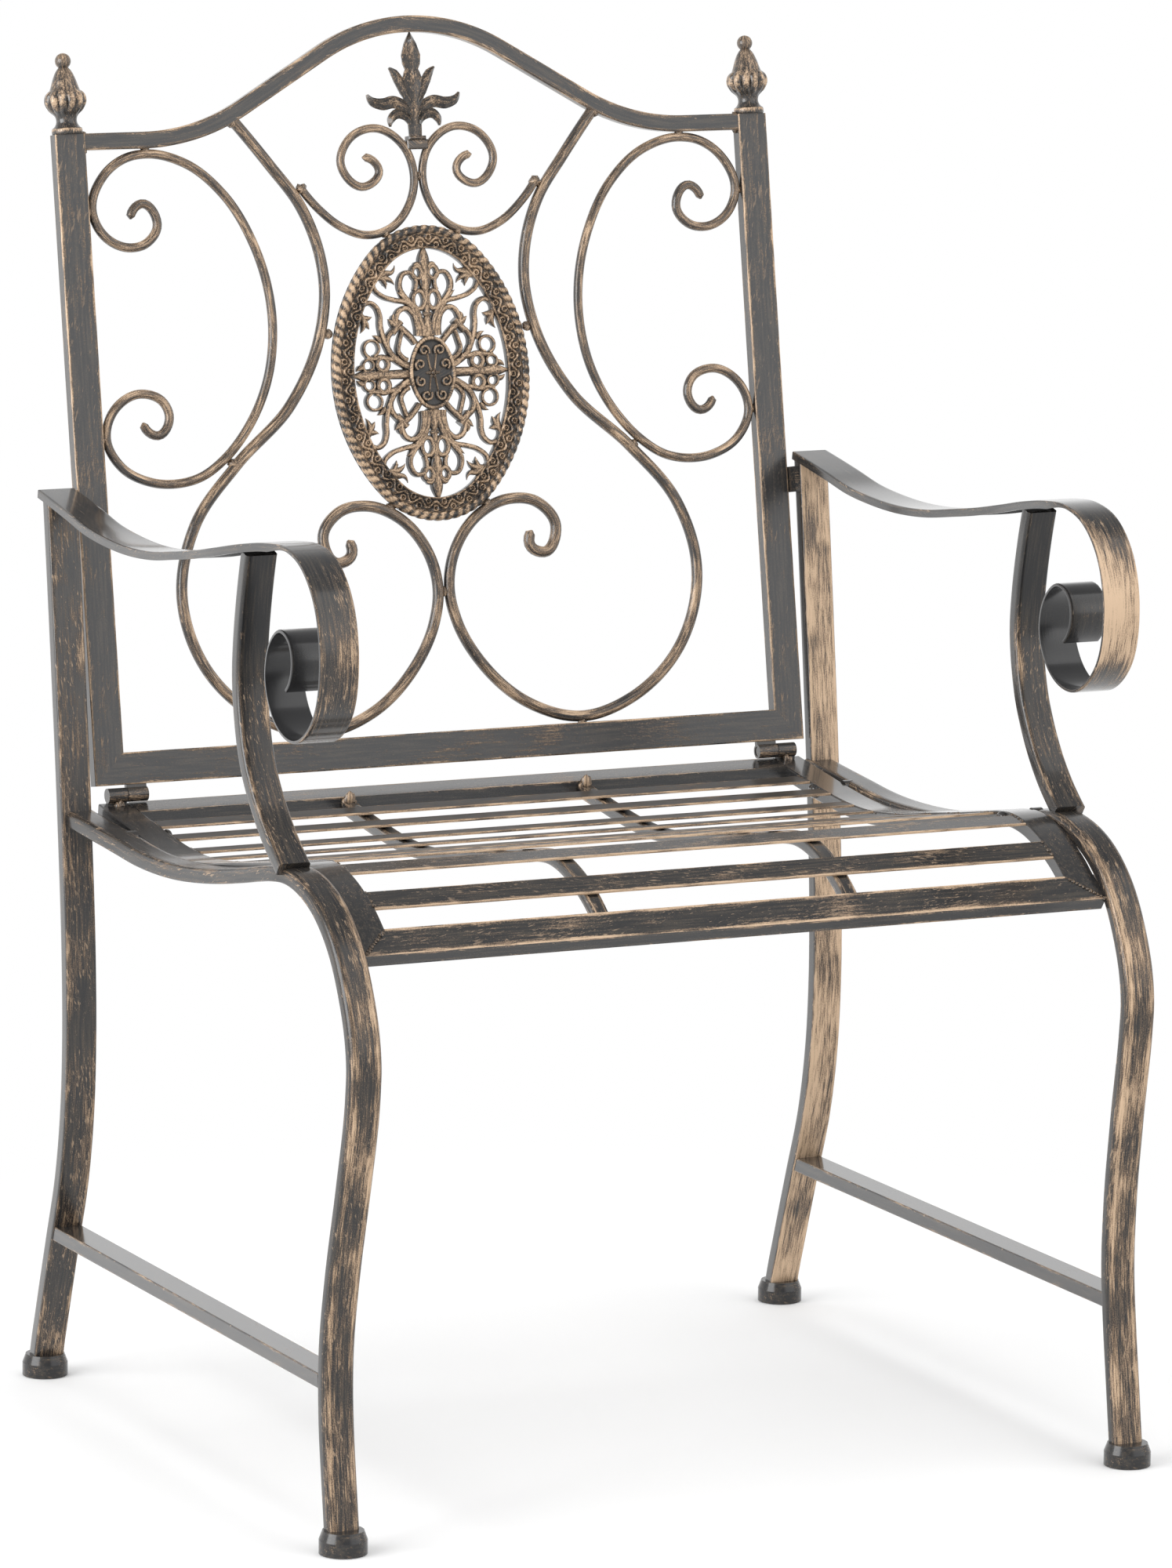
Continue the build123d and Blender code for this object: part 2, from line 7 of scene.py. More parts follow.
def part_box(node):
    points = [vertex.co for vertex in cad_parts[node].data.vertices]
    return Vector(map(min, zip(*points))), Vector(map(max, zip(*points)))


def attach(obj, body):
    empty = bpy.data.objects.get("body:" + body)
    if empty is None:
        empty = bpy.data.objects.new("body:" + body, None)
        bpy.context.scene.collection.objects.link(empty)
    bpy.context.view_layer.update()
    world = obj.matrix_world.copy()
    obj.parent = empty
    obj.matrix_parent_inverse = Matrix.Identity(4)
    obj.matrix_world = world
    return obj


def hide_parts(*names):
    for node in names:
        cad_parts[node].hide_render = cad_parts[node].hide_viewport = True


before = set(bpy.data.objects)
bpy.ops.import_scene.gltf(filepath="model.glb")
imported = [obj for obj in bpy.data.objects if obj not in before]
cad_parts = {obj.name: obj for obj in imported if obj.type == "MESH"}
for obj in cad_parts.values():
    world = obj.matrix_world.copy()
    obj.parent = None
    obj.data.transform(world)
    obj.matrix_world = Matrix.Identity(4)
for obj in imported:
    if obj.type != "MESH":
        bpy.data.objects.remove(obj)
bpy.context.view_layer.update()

# Front legs: one length of 22 x 10 mm steel tube on each side, bent to carry the seat, roll over
# its front and run down to the floor. Painted charcoal, then dry-brushed with bronze along its length.
# The bronze catches on the front faces and the rounded edges, and the top stays plain.
mm = 0.001
hinge_low, hinge_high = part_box("hinge_pin_right")
hinge_row = 202.4
row_shift = (hinge_low.y + hinge_high.y) / 2 - hinge_row * mm
frame_spread = 285.6
front_draw, leg_draw, seat_draw = 5.8, 1.2, 6.0
tube_width, tube_thickness = 22.0, 10.0
show_corner, tube_corner = 4.0, 1.2
front_leg_line = ((206, 401.6), (140, 396.8), (80, 393), (20, 394.7), (-40, 401.8), (-100, 412.5),
                  (-140, 420.5), (-165, 423), (-190, 419.5), (-215, 409.5), (-240, 389), (-258, 361),
                  (-268, 335), (-270.8, 316), (-269.5, 298), (-258, 236), (-246.8, 176),
                  (-242.4, 130), (-245.2, 85), (-250, 50), (-257, 3))
charcoal = (0.017, 0.017, 0.018, 1)
charcoal_worn = (0.046, 0.039, 0.032, 1)
bronze_deep = (0.165, 0.105, 0.062, 1)
bronze_bright = (0.600, 0.430, 0.285, 1)


class Link:
    """One output of a shader node. Arithmetic on it adds Math nodes."""

    def __init__(self, finish, socket):
        self.finish, self.socket = finish, socket

    def math(self, operation, *values):
        return self.finish.node("ShaderNodeMath", {"operation": operation}, dict(enumerate(values)))

    def __add__(self, other):
        return self.math("ADD", self, other)

    def __sub__(self, other):
        return self.math("SUBTRACT", self, other)

    def __rsub__(self, other):
        return self.math("SUBTRACT", other, self)

    def __mul__(self, other):
        return self.math("MULTIPLY", self, other)

    def at_least(self, other):
        return self.math("MAXIMUM", self, other)

    __radd__, __rmul__ = __add__, __mul__


class Finish:
    """A material whose shader is put together from nodes."""

    def __init__(self, name, kinds=bpy.data.materials, shader="Principled BSDF"):
        self.material = kinds.new(name)
        self.material.use_nodes = True
        self.tree = self.material.node_tree
        self.shader = self.tree.nodes[shader]

    def feed(self, node, inputs):
        for key, value in inputs.items():
            if isinstance(value, Link):
                self.tree.links.new(value.socket, node.inputs[key])
            else:
                node.inputs[key].default_value = value

    def node(self, kind, settings, inputs, output=0):
        new = self.tree.nodes.new(kind)
        for key, value in settings.items():
            setattr(new, key, value)
        self.feed(new, inputs)
        return Link(self, new.outputs[output])

    def axes(self, vector):
        return [self.node("ShaderNodeSeparateXYZ", {}, {"Vector": vector}, i) for i in range(3)]

    def stretched(self, place, shares):
        return self.node("ShaderNodeVectorMath", {"operation": "MULTIPLY"}, {0: place, 1: shares})

    def speckle(self, place, scale, detail=2.0):
        return self.node("ShaderNodeTexNoise", {}, {"Vector": place, "Scale": scale, "Detail": detail})

    def ease(self, value, low, high):
        return self.node("ShaderNodeMapRange", {"interpolation_type": "SMOOTHSTEP"},
                         {"Value": value, "From Min": low, "From Max": high})

    def mix(self, share, first, second):
        return self.node("ShaderNodeMix", {"data_type": "RGBA"}, {0: share, 6: first, 7: second}, 2)


def brushed(name, bar=None, axis="uv", lean=0.0, front=0.6, top=0.2, side=0.2, back=0.25, edge=0.3,
            worn=2.4, gloss=0.6, rough=0.19, pull=0.055, blotch=48.0, coat=0.8):
    """Charcoal paint dry-brushed with bronze along a piece, more on some faces and on the edges.

    A straight bar is brushed along one axis of its own, turned by its lean about X, and any other piece
    along its brush coordinates. The shares say how much bronze the faces and the edges caught.
    """
    finish = Finish(name)
    turn = (radians(lean), 0, 0)
    faced = finish.node("ShaderNodeTexCoord", {}, {}, 1)
    faced = finish.node("ShaderNodeMapping", {"vector_type": "NORMAL"}, {"Vector": faced, "Rotation": turn})
    _, rearward, upward = finish.axes(faced)
    ahead = (rearward * -1).at_least(0)
    behind = rearward.at_least(0)
    above = upward.at_least(0)
    if bar is None:
        where = finish.node("ShaderNodeUVMap", {"uv_map": "brush"}, {})
        stretch = Vector((pull, 1, 1))
        rub = finish.node("ShaderNodeAttribute", {"attribute_name": "rub"}, {}, 2)
    else:
        corners = np.array([Matrix.Rotation(radians(lean), 3, "X") @ spot.co for spot in bar.data.vertices])
        middle, half = (corners.max(0) + corners.min(0)) / 2, (corners.max(0) - corners.min(0)) / 2
        where = finish.node("ShaderNodeTexCoord", {}, {}, 3)
        where = finish.node("ShaderNodeMapping", {"vector_type": "POINT"},
                            {"Vector": where, "Rotation": turn, "Location": -middle})
        spans = finish.axes(where)
        across = [i for i in range(3) if "xyz"[i] != axis]
        inside = [half[i] - spans[i].math("ABSOLUTE", spans[i]) for i in across]
        rub = 1 - finish.ease(inside[0].at_least(inside[1]), 0.0, worn * mm)
        stretch = Vector([pull if letter == axis else 1 for letter in "xyz"])
    strokes = finish.stretched(where, stretch)
    swathe = finish.stretched(where, stretch * 0.6 + Vector((0.4, 0.4, 0.4)))
    cover = (ahead * ahead * (front - side) + above * above * (top - side)
             + behind * behind * (back - side) + rub * edge + side)
    patches = finish.speckle(swathe, blotch, 3.0)
    streaks = finish.speckle(strokes, 560.0, 3.0)
    bristles = finish.speckle(strokes, 1500.0)
    grain = finish.speckle(where, 1300.0)
    level = streaks * 0.34 + bristles * 0.34 + patches * 0.40 + grain * 0.24 - 0.79 + cover * 0.26
    dashes = finish.node("ShaderNodeMapping", {"vector_type": "TEXTURE"},
                         {"Vector": where, "Rotation": (0.0, 0.2, 0.2),
                          "Scale": [1 / (0.1 + 0.9 * share) for share in stretch]})
    flecks = finish.ease(finish.speckle(dashes, 800.0, 3.0) + patches * 0.35, 0.78, 0.86)
    flecks = flecks * finish.ease(cover, 0.04, 0.4) * 0.65
    caught = finish.ease(level, -0.03, 0.13).at_least(flecks)
    tone = finish.ease(level, 0.03, 0.22).at_least(flecks)
    bronze = finish.mix(tone, bronze_deep, bronze_bright)
    worn_through = finish.ease(streaks + grain * 0.5 + cover * 0.2, 0.66, 1.0)
    under = finish.mix(worn_through, charcoal, charcoal_worn)
    bump = finish.node("ShaderNodeBump", {}, {"Height": grain * 0.25 + caught * 0.5 + streaks * 0.2,
                                             "Strength": 0.25, "Distance": 0.0004})
    finish.feed(finish.shader, {"Base Color": finish.mix(caught, under, bronze),
                                "Metallic": caught * 0.2,
                                "Roughness": rough + caught * 0.27 + grain * 0.06,
                                "Specular IOR Level": gloss,
                                "Coat Weight": coat - ahead * ahead * coat,
                                "Coat Roughness": 0.1,
                                "Normal": bump})
    return finish.material


def line_of(points, loop=False):
    """Dense line of points, with the direction to the right of the line at each."""
    points = np.array(points, float)
    if loop:
        heading = np.roll(points, -1, 0) - np.roll(points, 1, 0)
    else:
        heading = np.gradient(points, axis=0)
    heading /= np.linalg.norm(heading, axis=1)[:, None]
    return points, np.stack([heading[:, 1], -heading[:, 0]], 1)


def line_through(places, step=4.0):
    """Smooth line through given points, as a bent bar takes them."""
    spots = np.array(places, float)
    chords = np.diff(spots, axis=0)
    spans = np.linalg.norm(chords, axis=1)
    units = chords / spans[:, None]
    inner = units[:-1] * spans[1:, None] + units[1:] * spans[:-1, None]
    inner /= np.linalg.norm(inner, axis=1)[:, None]
    first = units[0] * 2 * (units[0] @ inner[0]) - inner[0]
    last = units[-1] * 2 * (units[-1] @ inner[-1]) - inner[-1]
    headings = np.vstack([first, inner, last])
    points = []
    for i, span in enumerate(spans):
        count = max(2, int(np.ceil(span / step)))
        t = np.arange(count)[:, None] / count
        bulge = span * (1 + 0.06 * (1 - units[i] @ headings[i]))
        start = (2 * t ** 3 - 3 * t ** 2 + 1) * spots[i] + (t ** 3 - 2 * t ** 2 + t) * bulge * headings[i]
        stop = (3 * t ** 2 - 2 * t ** 3) * spots[i + 1] + (t ** 3 - t ** 2) * bulge * headings[i + 1]
        points.extend(start + stop)
    return line_of(points + [spots[-1]])


def length_along(points):
    """Length of a line from its start to each of its points."""
    return np.concatenate([[0], np.cumsum(np.linalg.norm(np.diff(points, axis=0), axis=1))])


def side_page(x, mirrored):
    """Page of a side frame: Y across, Z up, and X out of it."""
    side = -1 if mirrored else 1
    return lambda a, b, c: np.stack([side * (x + c) * mm, a * mm + row_shift, b * mm], -1)


def skin(rings, rub, loop=False, flip=False):
    """Closed surface over a row of rings, with its brush coordinates and how far each point is rubbed."""
    rings = np.array(rings, float)
    count, sides = rings.shape[:2]
    middles = rings.mean(1)
    along = length_along(np.vstack([middles, middles[:1]]))
    widest = rings[count // 2]
    around = length_along(np.vstack([widest, widest[:1]]))
    faces, uvs = [], []
    for i in range(count if loop else count - 1):
        for j in range(sides):
            corners = [(i, j), (i, j + 1), (i + 1, j + 1), (i + 1, j)]
            if flip:
                corners.reverse()
            faces.append([a % count * sides + b % sides for a, b in corners])
            uvs += [(along[a], around[b]) for a, b in corners]
    if not loop:
        for i, order in ((0, range(sides - 1, -1, -1)), (count - 1, range(sides))):
            order = list(order)[::-1] if flip else list(order)
            faces.append([i * sides + j for j in order])
            uvs += [(along[i], around[j]) for j in order]
    return rings.reshape(-1, 3), faces, uvs, np.broadcast_to(rub, (count, sides)).ravel()


def sweep(line, page, section, rub, size=1.0, depth=0.0, loop=False, flip=False):
    """Section carried along a line on a page: its x comes out of the page, its y to the line's right."""
    points, rights = line
    rings = np.array(section, float)[None] * np.broadcast_to(size, (len(points), 2))[:, None, :]
    a = points[:, None, 0] + rings[:, :, 1] * rights[:, None, 0]
    b = points[:, None, 1] + rings[:, :, 1] * rights[:, None, 1]
    return skin(page(a, b, depth + rings[:, :, 0]), rub, loop, flip)


def tube_section(width, thickness, show_radius, hidden_radius, sink=0.0):
    """Rounded bar section, and how far each of its points lies on an edge."""
    steps, margin = 4, 2.0
    corners = ((1, -1, hidden_radius, -90), (1, 1, show_radius, 0), (-1, 1, show_radius, 90),
               (-1, -1, hidden_radius, 180))
    points, rub = [], []
    for x, y, radius, angle in corners:
        middle = np.array((x * (width / 2 - radius), y * (thickness / 2 - radius) - sink))
        for k in range(-1, steps + 2):
            turn = radians(angle + 90 * min(max(k, 0), steps) / steps)
            spot = middle + radius * np.array((cos(turn), sin(turn)))
            if k < 0:
                spot -= margin * np.array((-sin(turn), cos(turn)))
            if k > steps:
                spot += margin * np.array((-sin(turn), cos(turn)))
            points.append(spot)
            rub.append(1.0 if 0 <= k <= steps else 0.0)
    return points, rub


def piece(name, skins, material, body, slot, *replaced, sharp=40.0):
    """Object made of one or more skins, riding on a body in place of CAD nodes."""
    places, faces, uvs, rubs, start = [], [], [], [], 0
    for points, corners, brush, rub in skins:
        places.append(points)
        faces += [[start + index for index in face] for face in corners]
        uvs += brush
        rubs.append(rub)
        start += len(points)
    mesh = bpy.data.meshes.new(name)
    mesh.from_pydata(np.concatenate(places).tolist(), [], faces)
    mesh.uv_layers.new(name="brush").data.foreach_set("uv", np.array(uvs, np.float32).ravel())
    rubbed = mesh.attributes.new("rub", "FLOAT", "POINT")
    rubbed.data.foreach_set("value", np.concatenate(rubs).astype(np.float32))
    mesh.shade_smooth()
    mesh.set_sharp_from_angle(angle=radians(sharp))
    mesh.materials.append(material)
    made = bpy.data.objects.new(name, mesh)
    bpy.context.scene.collection.objects.link(made)
    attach(made, body)
    if replaced:
        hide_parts(*replaced)


def smooth(values, low, high):
    """Share of the way from low to high, eased at both ends."""
    share = np.clip((values - low) / (high - low), 0, 1)
    return share * share * (3 - 2 * share)


def drawn_in(points, low=0.0, high=1.0):
    """How far in, towards the middle of the chair, a side frame's front leans at each point."""
    ahead = np.maximum.accumulate(smooth(-points[:, 0], 60, 180))
    return -front_draw * (ahead * smooth(points[:, 1], low, high))[:, None]


leg_section, leg_rub = tube_section(tube_width, tube_thickness, show_corner, tube_corner)
# The right-hand leg gets more bronze on its front than the left-hand one: painted light, for the brighter
# light on the chair's right.
for side, front in (("right", 0.68), ("left", 0.56)):
    mirrored = side == "left"
    leg_paint = brushed(f"leg_paint_{side}", front=front, top=0.14, side=0.10, back=0.15, edge=0.3,
                        gloss=0.5, coat=0.3)
    line = line_through(front_leg_line, 6.0)
    rows, heights = line[0].T
    beside_seat = np.clip((heights - 250) / 100, 0, 1) * (1 - 0.45 * np.clip((rows - 110) / 90, 0, 1))
    draw = np.minimum(leg_draw * drawn_in(line[0], 60, 300), -seat_draw * beside_seat[:, None])
    leg = sweep(line, side_page(frame_spread, mirrored), leg_section, leg_rub, depth=draw, flip=mirrored)
    piece(f"bent_front_leg_{side}", [leg], leg_paint, "frame", "tube_paint", f"front_leg_{side}")

# Rear posts: 22 x 10 mm tube that carries the rear of the arms and runs down, kicked back, to the floor.
# Charcoal paint with long bronze strokes down the front face.
rear_post_line = ((229, 618.2), (214, 500), (203, 400), (195.2, 300), (194.5, 250), (198, 200),
                  (208, 150), (226, 100), (244, 50), (255.5, 16), (258.5, 3))
post_section, post_rub = tube_section(tube_width, tube_thickness, tube_corner, tube_corner)
# The right-hand post gets more bronze on its front than the left-hand one: painted light, for the brighter
# light on the chair's right.
for side, front in (("right", 1.0), ("left", 0.42)):
    mirrored = side == "left"
    post_paint = brushed(f"post_paint_{side}", front=front, top=0.2, side=0.06, back=0.3, edge=0.25)
    line = line_through(rear_post_line, 8.0)
    post = sweep(line, side_page(frame_spread, mirrored), post_section, post_rub, flip=mirrored)
    piece(f"bent_rear_post_{side}", [post], post_paint, "frame", "tube_paint", f"rear_post_{side}")

# Arm supports: short bent tubes from the front of the seat rail up to the underside of the arm,
# welded at both ends. The upper part is plain charcoal, the lower part has patches of bronze.
arm_support_line = ((-112.6, 624.5), (-105, 596), (-99.5, 566), (-97.7, 543), (-101, 517),
                    (-108.6, 492), (-122, 469), (-141.5, 446.5), (-158.5, 432.2), (-165, 427.4))
support_corner, support_draw = 2.2, 0.6
plain_from, plain_to = 535, 575
support_paint = brushed("support_paint", front=0.34, top=0.3, side=0.08, back=0.2, edge=0.3, gloss=0.45)
support_section, support_rub = tube_section(tube_width, tube_thickness, support_corner, tube_corner)
for side in ("right", "left"):
    mirrored = side == "left"
    line = line_through(arm_support_line, 5.0)
    plain = np.clip((line[0][:, 1] - plain_from) / (plain_to - plain_from), 0, 1)[:, None]
    support = sweep(line, side_page(frame_spread, mirrored), support_section, support_rub - 1.4 * plain,
                    depth=support_draw * drawn_in(line[0]), flip=mirrored)
    piece(f"bent_arm_support_{side}", [support], support_paint, "frame", "tube_paint",
          f"arm_support_{side}")

# Arms: 27 mm steel strip with turned-down edges, rolled at the front into a scroll of plain flat strip.
# The top is plain grey, the outside of the scroll is covered with bronze strokes.
arm_inner_edge, arm_outer_edge = 273.2, 300.1
arm_strip, arm_edge_depth, arm_edge_wall, arm_lip = 2.0, 5.5, 1.3, 0.7
arm_line = ((233, 622.8), (182, 614.5), (149, 608.5), (116, 605.5), (72, 604.4), (30, 607), (-6, 612),
            (-42, 617.5), (-77, 624), (-114, 631), (-146, 635.5), (-175, 636.5))
arm_scroll_line = ((-201, 629.5), (-222, 611), (-234, 573), (-224, 533), (-190, 512.5), (-157, 524),
                   (-144, 549), (-152, 573), (-170, 583), (-186, 575), (-189, 560), (-179, 544))
arm_fade_start, arm_fade_end = -150.0, -178.0
plain_inside = -3.2
arm_rub = np.array([0.2, 0.5, 1, 1, 1, 0, 0, 1, 1, 1, 0.5, 0.2] + [plain_inside] * 4)


def arm_rings(points, rights, page):
    """Strip section at each point of the arm, with its turned-down edges fading out before the scroll."""
    half = (arm_outer_edge - arm_inner_edge) / 2
    wall = half - arm_edge_wall
    rings, rubs = [], []
    level, outside = True, True
    for (a, b), (ra, rb), (draw,) in zip(points, rights, drawn_in(points)):
        level = level and a > arm_fade_end
        outside = outside and (level or ra < 0.35)
        fade = 0.0
        if level:
            fade = np.clip((a - arm_fade_end) / (arm_fade_start - arm_fade_end), 0, 1)
        low = -arm_strip - 0.05 - (arm_edge_depth - arm_strip) * fade
        edge = ((half, low), (half, -arm_lip - 1), (half, -arm_lip), (half - 0.3 * arm_lip, -0.3 * arm_lip),
                (half - arm_lip, 0), (half - arm_lip - 1.2, 0))
        hollow = ((-wall, low), (-wall, -arm_strip), (wall, -arm_strip), (wall, low))
        section = (*edge, *((-x, y) for x, y in edge[::-1]), *hollow)
        rings.append([page(a + y * ra, b + y * rb, x + draw) for x, y in section])
        rubs.append(arm_rub if outside else arm_rub + plain_inside)
    return rings, np.array(rubs)


# The right-hand arm gets more bronze on its front than the left-hand one: painted light, for the brighter
# light on the chair's right.
for side, front in (("right", 1.2), ("left", 0.52)):
    mirrored = side == "left"
    arm_paint = brushed(f"arm_paint_{side}", front=front, top=0.03, side=0.06, back=0.03, edge=0.3)
    points, rights = line_through(arm_line + arm_scroll_line, 4.0)
    page = side_page((arm_inner_edge + arm_outer_edge) / 2, mirrored)
    arm = skin(*arm_rings(points, rights, page), flip=mirrored)
    piece(f"scrolled_arm_{side}", [arm], arm_paint, "frame", "tube_paint", f"arm_{side}", sharp=35)

# Side stretchers: straight 20 x 10 mm tube, level between front leg and rear post and welded to both.
# Plain charcoal with worn edges.


def paint_bar(paint, name, axis, lean=0.0, **shares):
    """Brush a straight piece of the frame along one of its axes."""
    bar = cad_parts[name]
    bar.data.materials[0] = brushed(paint, bar, axis, lean, **shares)


for side in ("right", "left"):
    paint_bar(f"stretcher_paint_{side}", f"side_stretcher_{side}", "y", front=0.2, top=0.06, side=0.06,
              back=0.2, edge=0.7)

# Foot caps: round caps of moulded black plastic, pressed on the ends of legs and posts.
# The brush has touched them here and there.
for end in ("front", "rear"):
    for side in ("right", "left"):
        paint_bar(f"foot_plastic_{end}_{side}", f"foot_cap_{end}_{side}", "x", front=0.16, top=0.1,
                  side=0.1, back=0.1, edge=0.12, gloss=0.45, coat=0.3)

# Seat frame: four lengths of 22 x 10 mm tube, bent at the sides to the line of the seat and welded.
# Tops are plain charcoal, and the edges of the front rail are rubbed bronze.


def tilt_of(name):
    """Angle in degrees that turns a bar's upper face level, about X."""
    facing = Vector((0, 0, 0))
    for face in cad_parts[name].data.polygons:
        if face.normal.z > 0.7 and abs(face.normal.x) < 0.1:
            facing += face.normal * face.area
    return np.degrees(np.arctan2(facing.y, facing.z))


for side in ("right", "left"):
    paint_bar(f"seat_side_rail_{side}_paint", f"seat_side_rail_{side}", "y", front=0.12, top=0.1, side=0.05,
              back=0.1, edge=0.35)
paint_bar("seat_front_rail_paint", "seat_front_rail", "x", tilt_of("seat_front_rail"), front=-0.3, top=0.28,
          side=0.15, back=0.3, edge=0.85, worn=4.0)
# The rear rail's front face lies in shade and is kept clear of bronze: painted shade.
paint_bar("seat_rear_rail_paint", "seat_rear_rail", "x", tilt_of("seat_rear_rail"), front=-0.2, top=0.2,
          side=0.15, back=0.2, edge=0.7)

# Slats: flat steel strips across the seat, welded to the side rails at their ends and to the straps below.
# The front edges are rubbed bronze, and the front three are brushed on top too.
slat_count, first_near_slat = 10, 8
slat_width, slat_thickness, slat_lip = 18.5, 1.6, 0.4
slat_half, slat_top = slat_width / 2, slat_thickness / 2
slat_section = ((slat_top, slat_lip - slat_half), (slat_top, 1.6 - slat_half), (slat_top, slat_half - 2.2),
                (slat_top, slat_half - slat_lip), (slat_top - slat_lip, slat_half), (-slat_top, slat_half),
                (-slat_top, -slat_half), (slat_top - slat_lip, -slat_half))
slat_rub = (0.8, 0, 0, 1, 1, 0.7, 0.2, 0.8)
slat_flattened = {1: 4.0, 2: 5.0, 3: 4.5, 4: 3.0}
slat_forward = {4: -6.0, 5: -4.0, 9: 2.5}
near_slat = {"front": 0.5, "top": 0.3, "side": 0.2, "back": 0.4, "edge": 0.7, "coat": 0.2}
far_slat = {"front": 0.4, "top": 0.24, "side": 0.2, "back": 0.3, "edge": 0.6, "rough": 0.34, "coat": 0.0}


def bar_box(name):
    """Low and high corner of a bar, in its own directions, and the turn from the chair's to them."""
    turned = Matrix.Rotation(radians(tilt_of(name)), 3, "X")
    corners = np.array([turned @ spot.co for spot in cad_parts[name].data.vertices])
    return corners.min(0), corners.max(0), turned


def strip_page(point, lean):
    """Page of a strip across the seat, from a point on it: X across, Y to the rear, and out of its top."""
    turn_back = np.array(Matrix.Rotation(radians(-lean), 3, "X"))

    def page(a, b, c):
        spots = np.stack([a * mm, b * mm, np.broadcast_to(c * mm, np.shape(a))], -1)
        return spots @ turn_back.T + np.array(point)

    return page


for number in range(1, slat_count + 1):
    name = f"seat_slat_{number:02d}"
    _, high, turned = bar_box(name)
    rear_edge = turned.transposed() @ Vector((0, high[1] - slat_forward.get(number, 0) * mm, high[2]))
    lean = tilt_of(name) + slat_flattened.get(number, 0)
    shares = near_slat if number >= first_near_slat else far_slat
    slat_paint = brushed(f"{name}_paint", lean=lean, **shares)
    ends = high[0] / mm
    line = line_through(((-ends, -slat_half), (0, -slat_half), (ends, -slat_half)), 40.0)
    slat = sweep(line, strip_page(rear_edge, lean), slat_section, slat_rub, depth=-slat_top)
    piece(f"flat_slat_{number:02d}", [slat], slat_paint, "frame", "tube_paint", name)

# Straps: two bars under the slats, bent to the line of the seat and turned up against the rear rail.
# Plain charcoal with bronze on the edges and on the welded rear ends.
seat_line = ((204, 409), (160, 403.2), (126, 399), (92, 395.9), (58, 395.4), (25, 398.4), (-39, 409),
             (-75, 415), (-110, 421.3), (-135, 425.6), (-150, 426.6), (-165, 425), (-182, 420.5),
             (-199, 413.5), (-214, 405.2), (-226.4, 396.2), (-235, 389.7), (-244, 383))
strap_width, strap_thickness, strap_corner, strap_drop = 10.5, 8.5, 1.3, 7.3
strap_rear, strap_front = 181.5, -229
strap_places = {"right": 88.8, "left": 91.2}
strap_paint = brushed("strap_paint", front=0.3, top=0.2, side=0.1, back=0.2, edge=0.5)
strap_section, strap_rub = tube_section(strap_width, strap_thickness, strap_corner, strap_corner,
                                        strap_drop)
for side, strap_spread in strap_places.items():
    mirrored = side == "left"
    points, rights = line_through(seat_line, 5.0)
    kept = (points[:, 0] < strap_rear) & (points[:, 0] > strap_front)
    strap = sweep((points[kept], rights[kept]), side_page(strap_spread, mirrored), strap_section, strap_rub,
                  flip=mirrored)
    piece(f"bent_strap_{side}", [strap], strap_paint, "frame", "tube_paint", f"seat_strap_{side}")

# Bolts, spacers and lugs: black-finished steel. The bolts hold the seat to the side frames, with spacer
# rings between, and the back to the lugs on the rear posts.
for name in ("seat_bolts", "seat_spacers", "back_bolts", "back_lug_right", "back_lug_left"):
    paint_bar(f"{name}_black", name, "x", front=0.2, top=0.05, side=0.08, back=0.1, edge=0.1)

# Hinges: rolled steel barrels under the back's bottom corners, turning on a plain steel pin.
# One barrel is welded to the seat's rear rail and one to the back, and both are painted with them.
for side in ("right", "left"):
    for name in ("seat_knuckle", "back_knuckle", "hinge_pin"):
        paint_bar(f"{name}_{side}_paint", f"{name}_{side}", "x", front=0.35, top=0.15, side=0.2, back=0.2,
                  edge=0.2)

# Back frame: two straight uprights and a bottom rail of 22 x 10 mm tube, mitred and welded, leaning back.
# Front faces carry long bronze strokes and the edges are rubbed through.
back_lean = 9.61
for side in ("right", "left"):
    paint_bar(f"upright_paint_{side}", f"back_upright_{side}", "z", back_lean, front=0.24, top=0.3,
              side=0.16, back=0.3, edge=0.85)
paint_bar("bottom_rail_paint", "back_bottom_rail", "x", back_lean, front=0.18, top=0.1, side=0.1, back=0.3,
          edge=0.8)

# Scrolls: round steel rod bent cold into S and C scrolls and welded where they touch.
# Bronze strokes run along the front and the top of the rod, and the sides stay darker. The extra bronze on
# the tops is partly painted light from above.
back_foot_y, back_foot_z = 202.2, 421.5
main_rod, side_rod, top_rod = 8.0, 6.5, 6.0
rod_depth = -5.0
rod_sides = 14
main_scroll_line = ((138.2, 451.9), (111.6, 419), (90.4, 390), (77.9, 354.7), (76, 335), (83.1, 296),
                    (107, 253), (150, 213.6), (183.6, 173.4), (196.3, 126.3), (182.2, 76), (139, 37),
                    (99.8, 26.4), (60.6, 37.5), (27.3, 65.6), (8.6, 98), (4.3, 120), (11, 148.5),
                    (31.5, 172.2), (54.7, 181), (76.3, 177.2), (88.8, 160), (78.2, 142.5),
                    (67.8, 148.5), (70.4, 158))
side_scroll_line = ((217, 385), (208.6, 395.3), (197.4, 381), (207.6, 367.5), (217.4, 365.5), (235, 372.4),
                    (244.6, 391), (235, 415), (217.4, 427), (203, 429.2), (174.3, 422), (146.9, 399.4),
                    (127.3, 365.5), (116.6, 308), (123, 271), (143, 234.5), (157, 219.6), (178.2, 206.2),
                    (195, 203), (213.5, 204.8), (235, 216.4), (244.6, 236), (238, 254.7), (217, 265.5),
                    (200.8, 258.6), (197.4, 248), (206.7, 236.5), (217, 246))
top_scroll_line = ((89.4, 402.6), (76.3, 387), (60.6, 374.6), (41, 368.2), (21.4, 373.6), (7.6, 389.4),
                   (3.2, 409), (9.2, 428.3), (31.2, 442), (50, 435.5), (58, 418), (41, 401.8),
                   (29.4, 412.5), (41.6, 422))


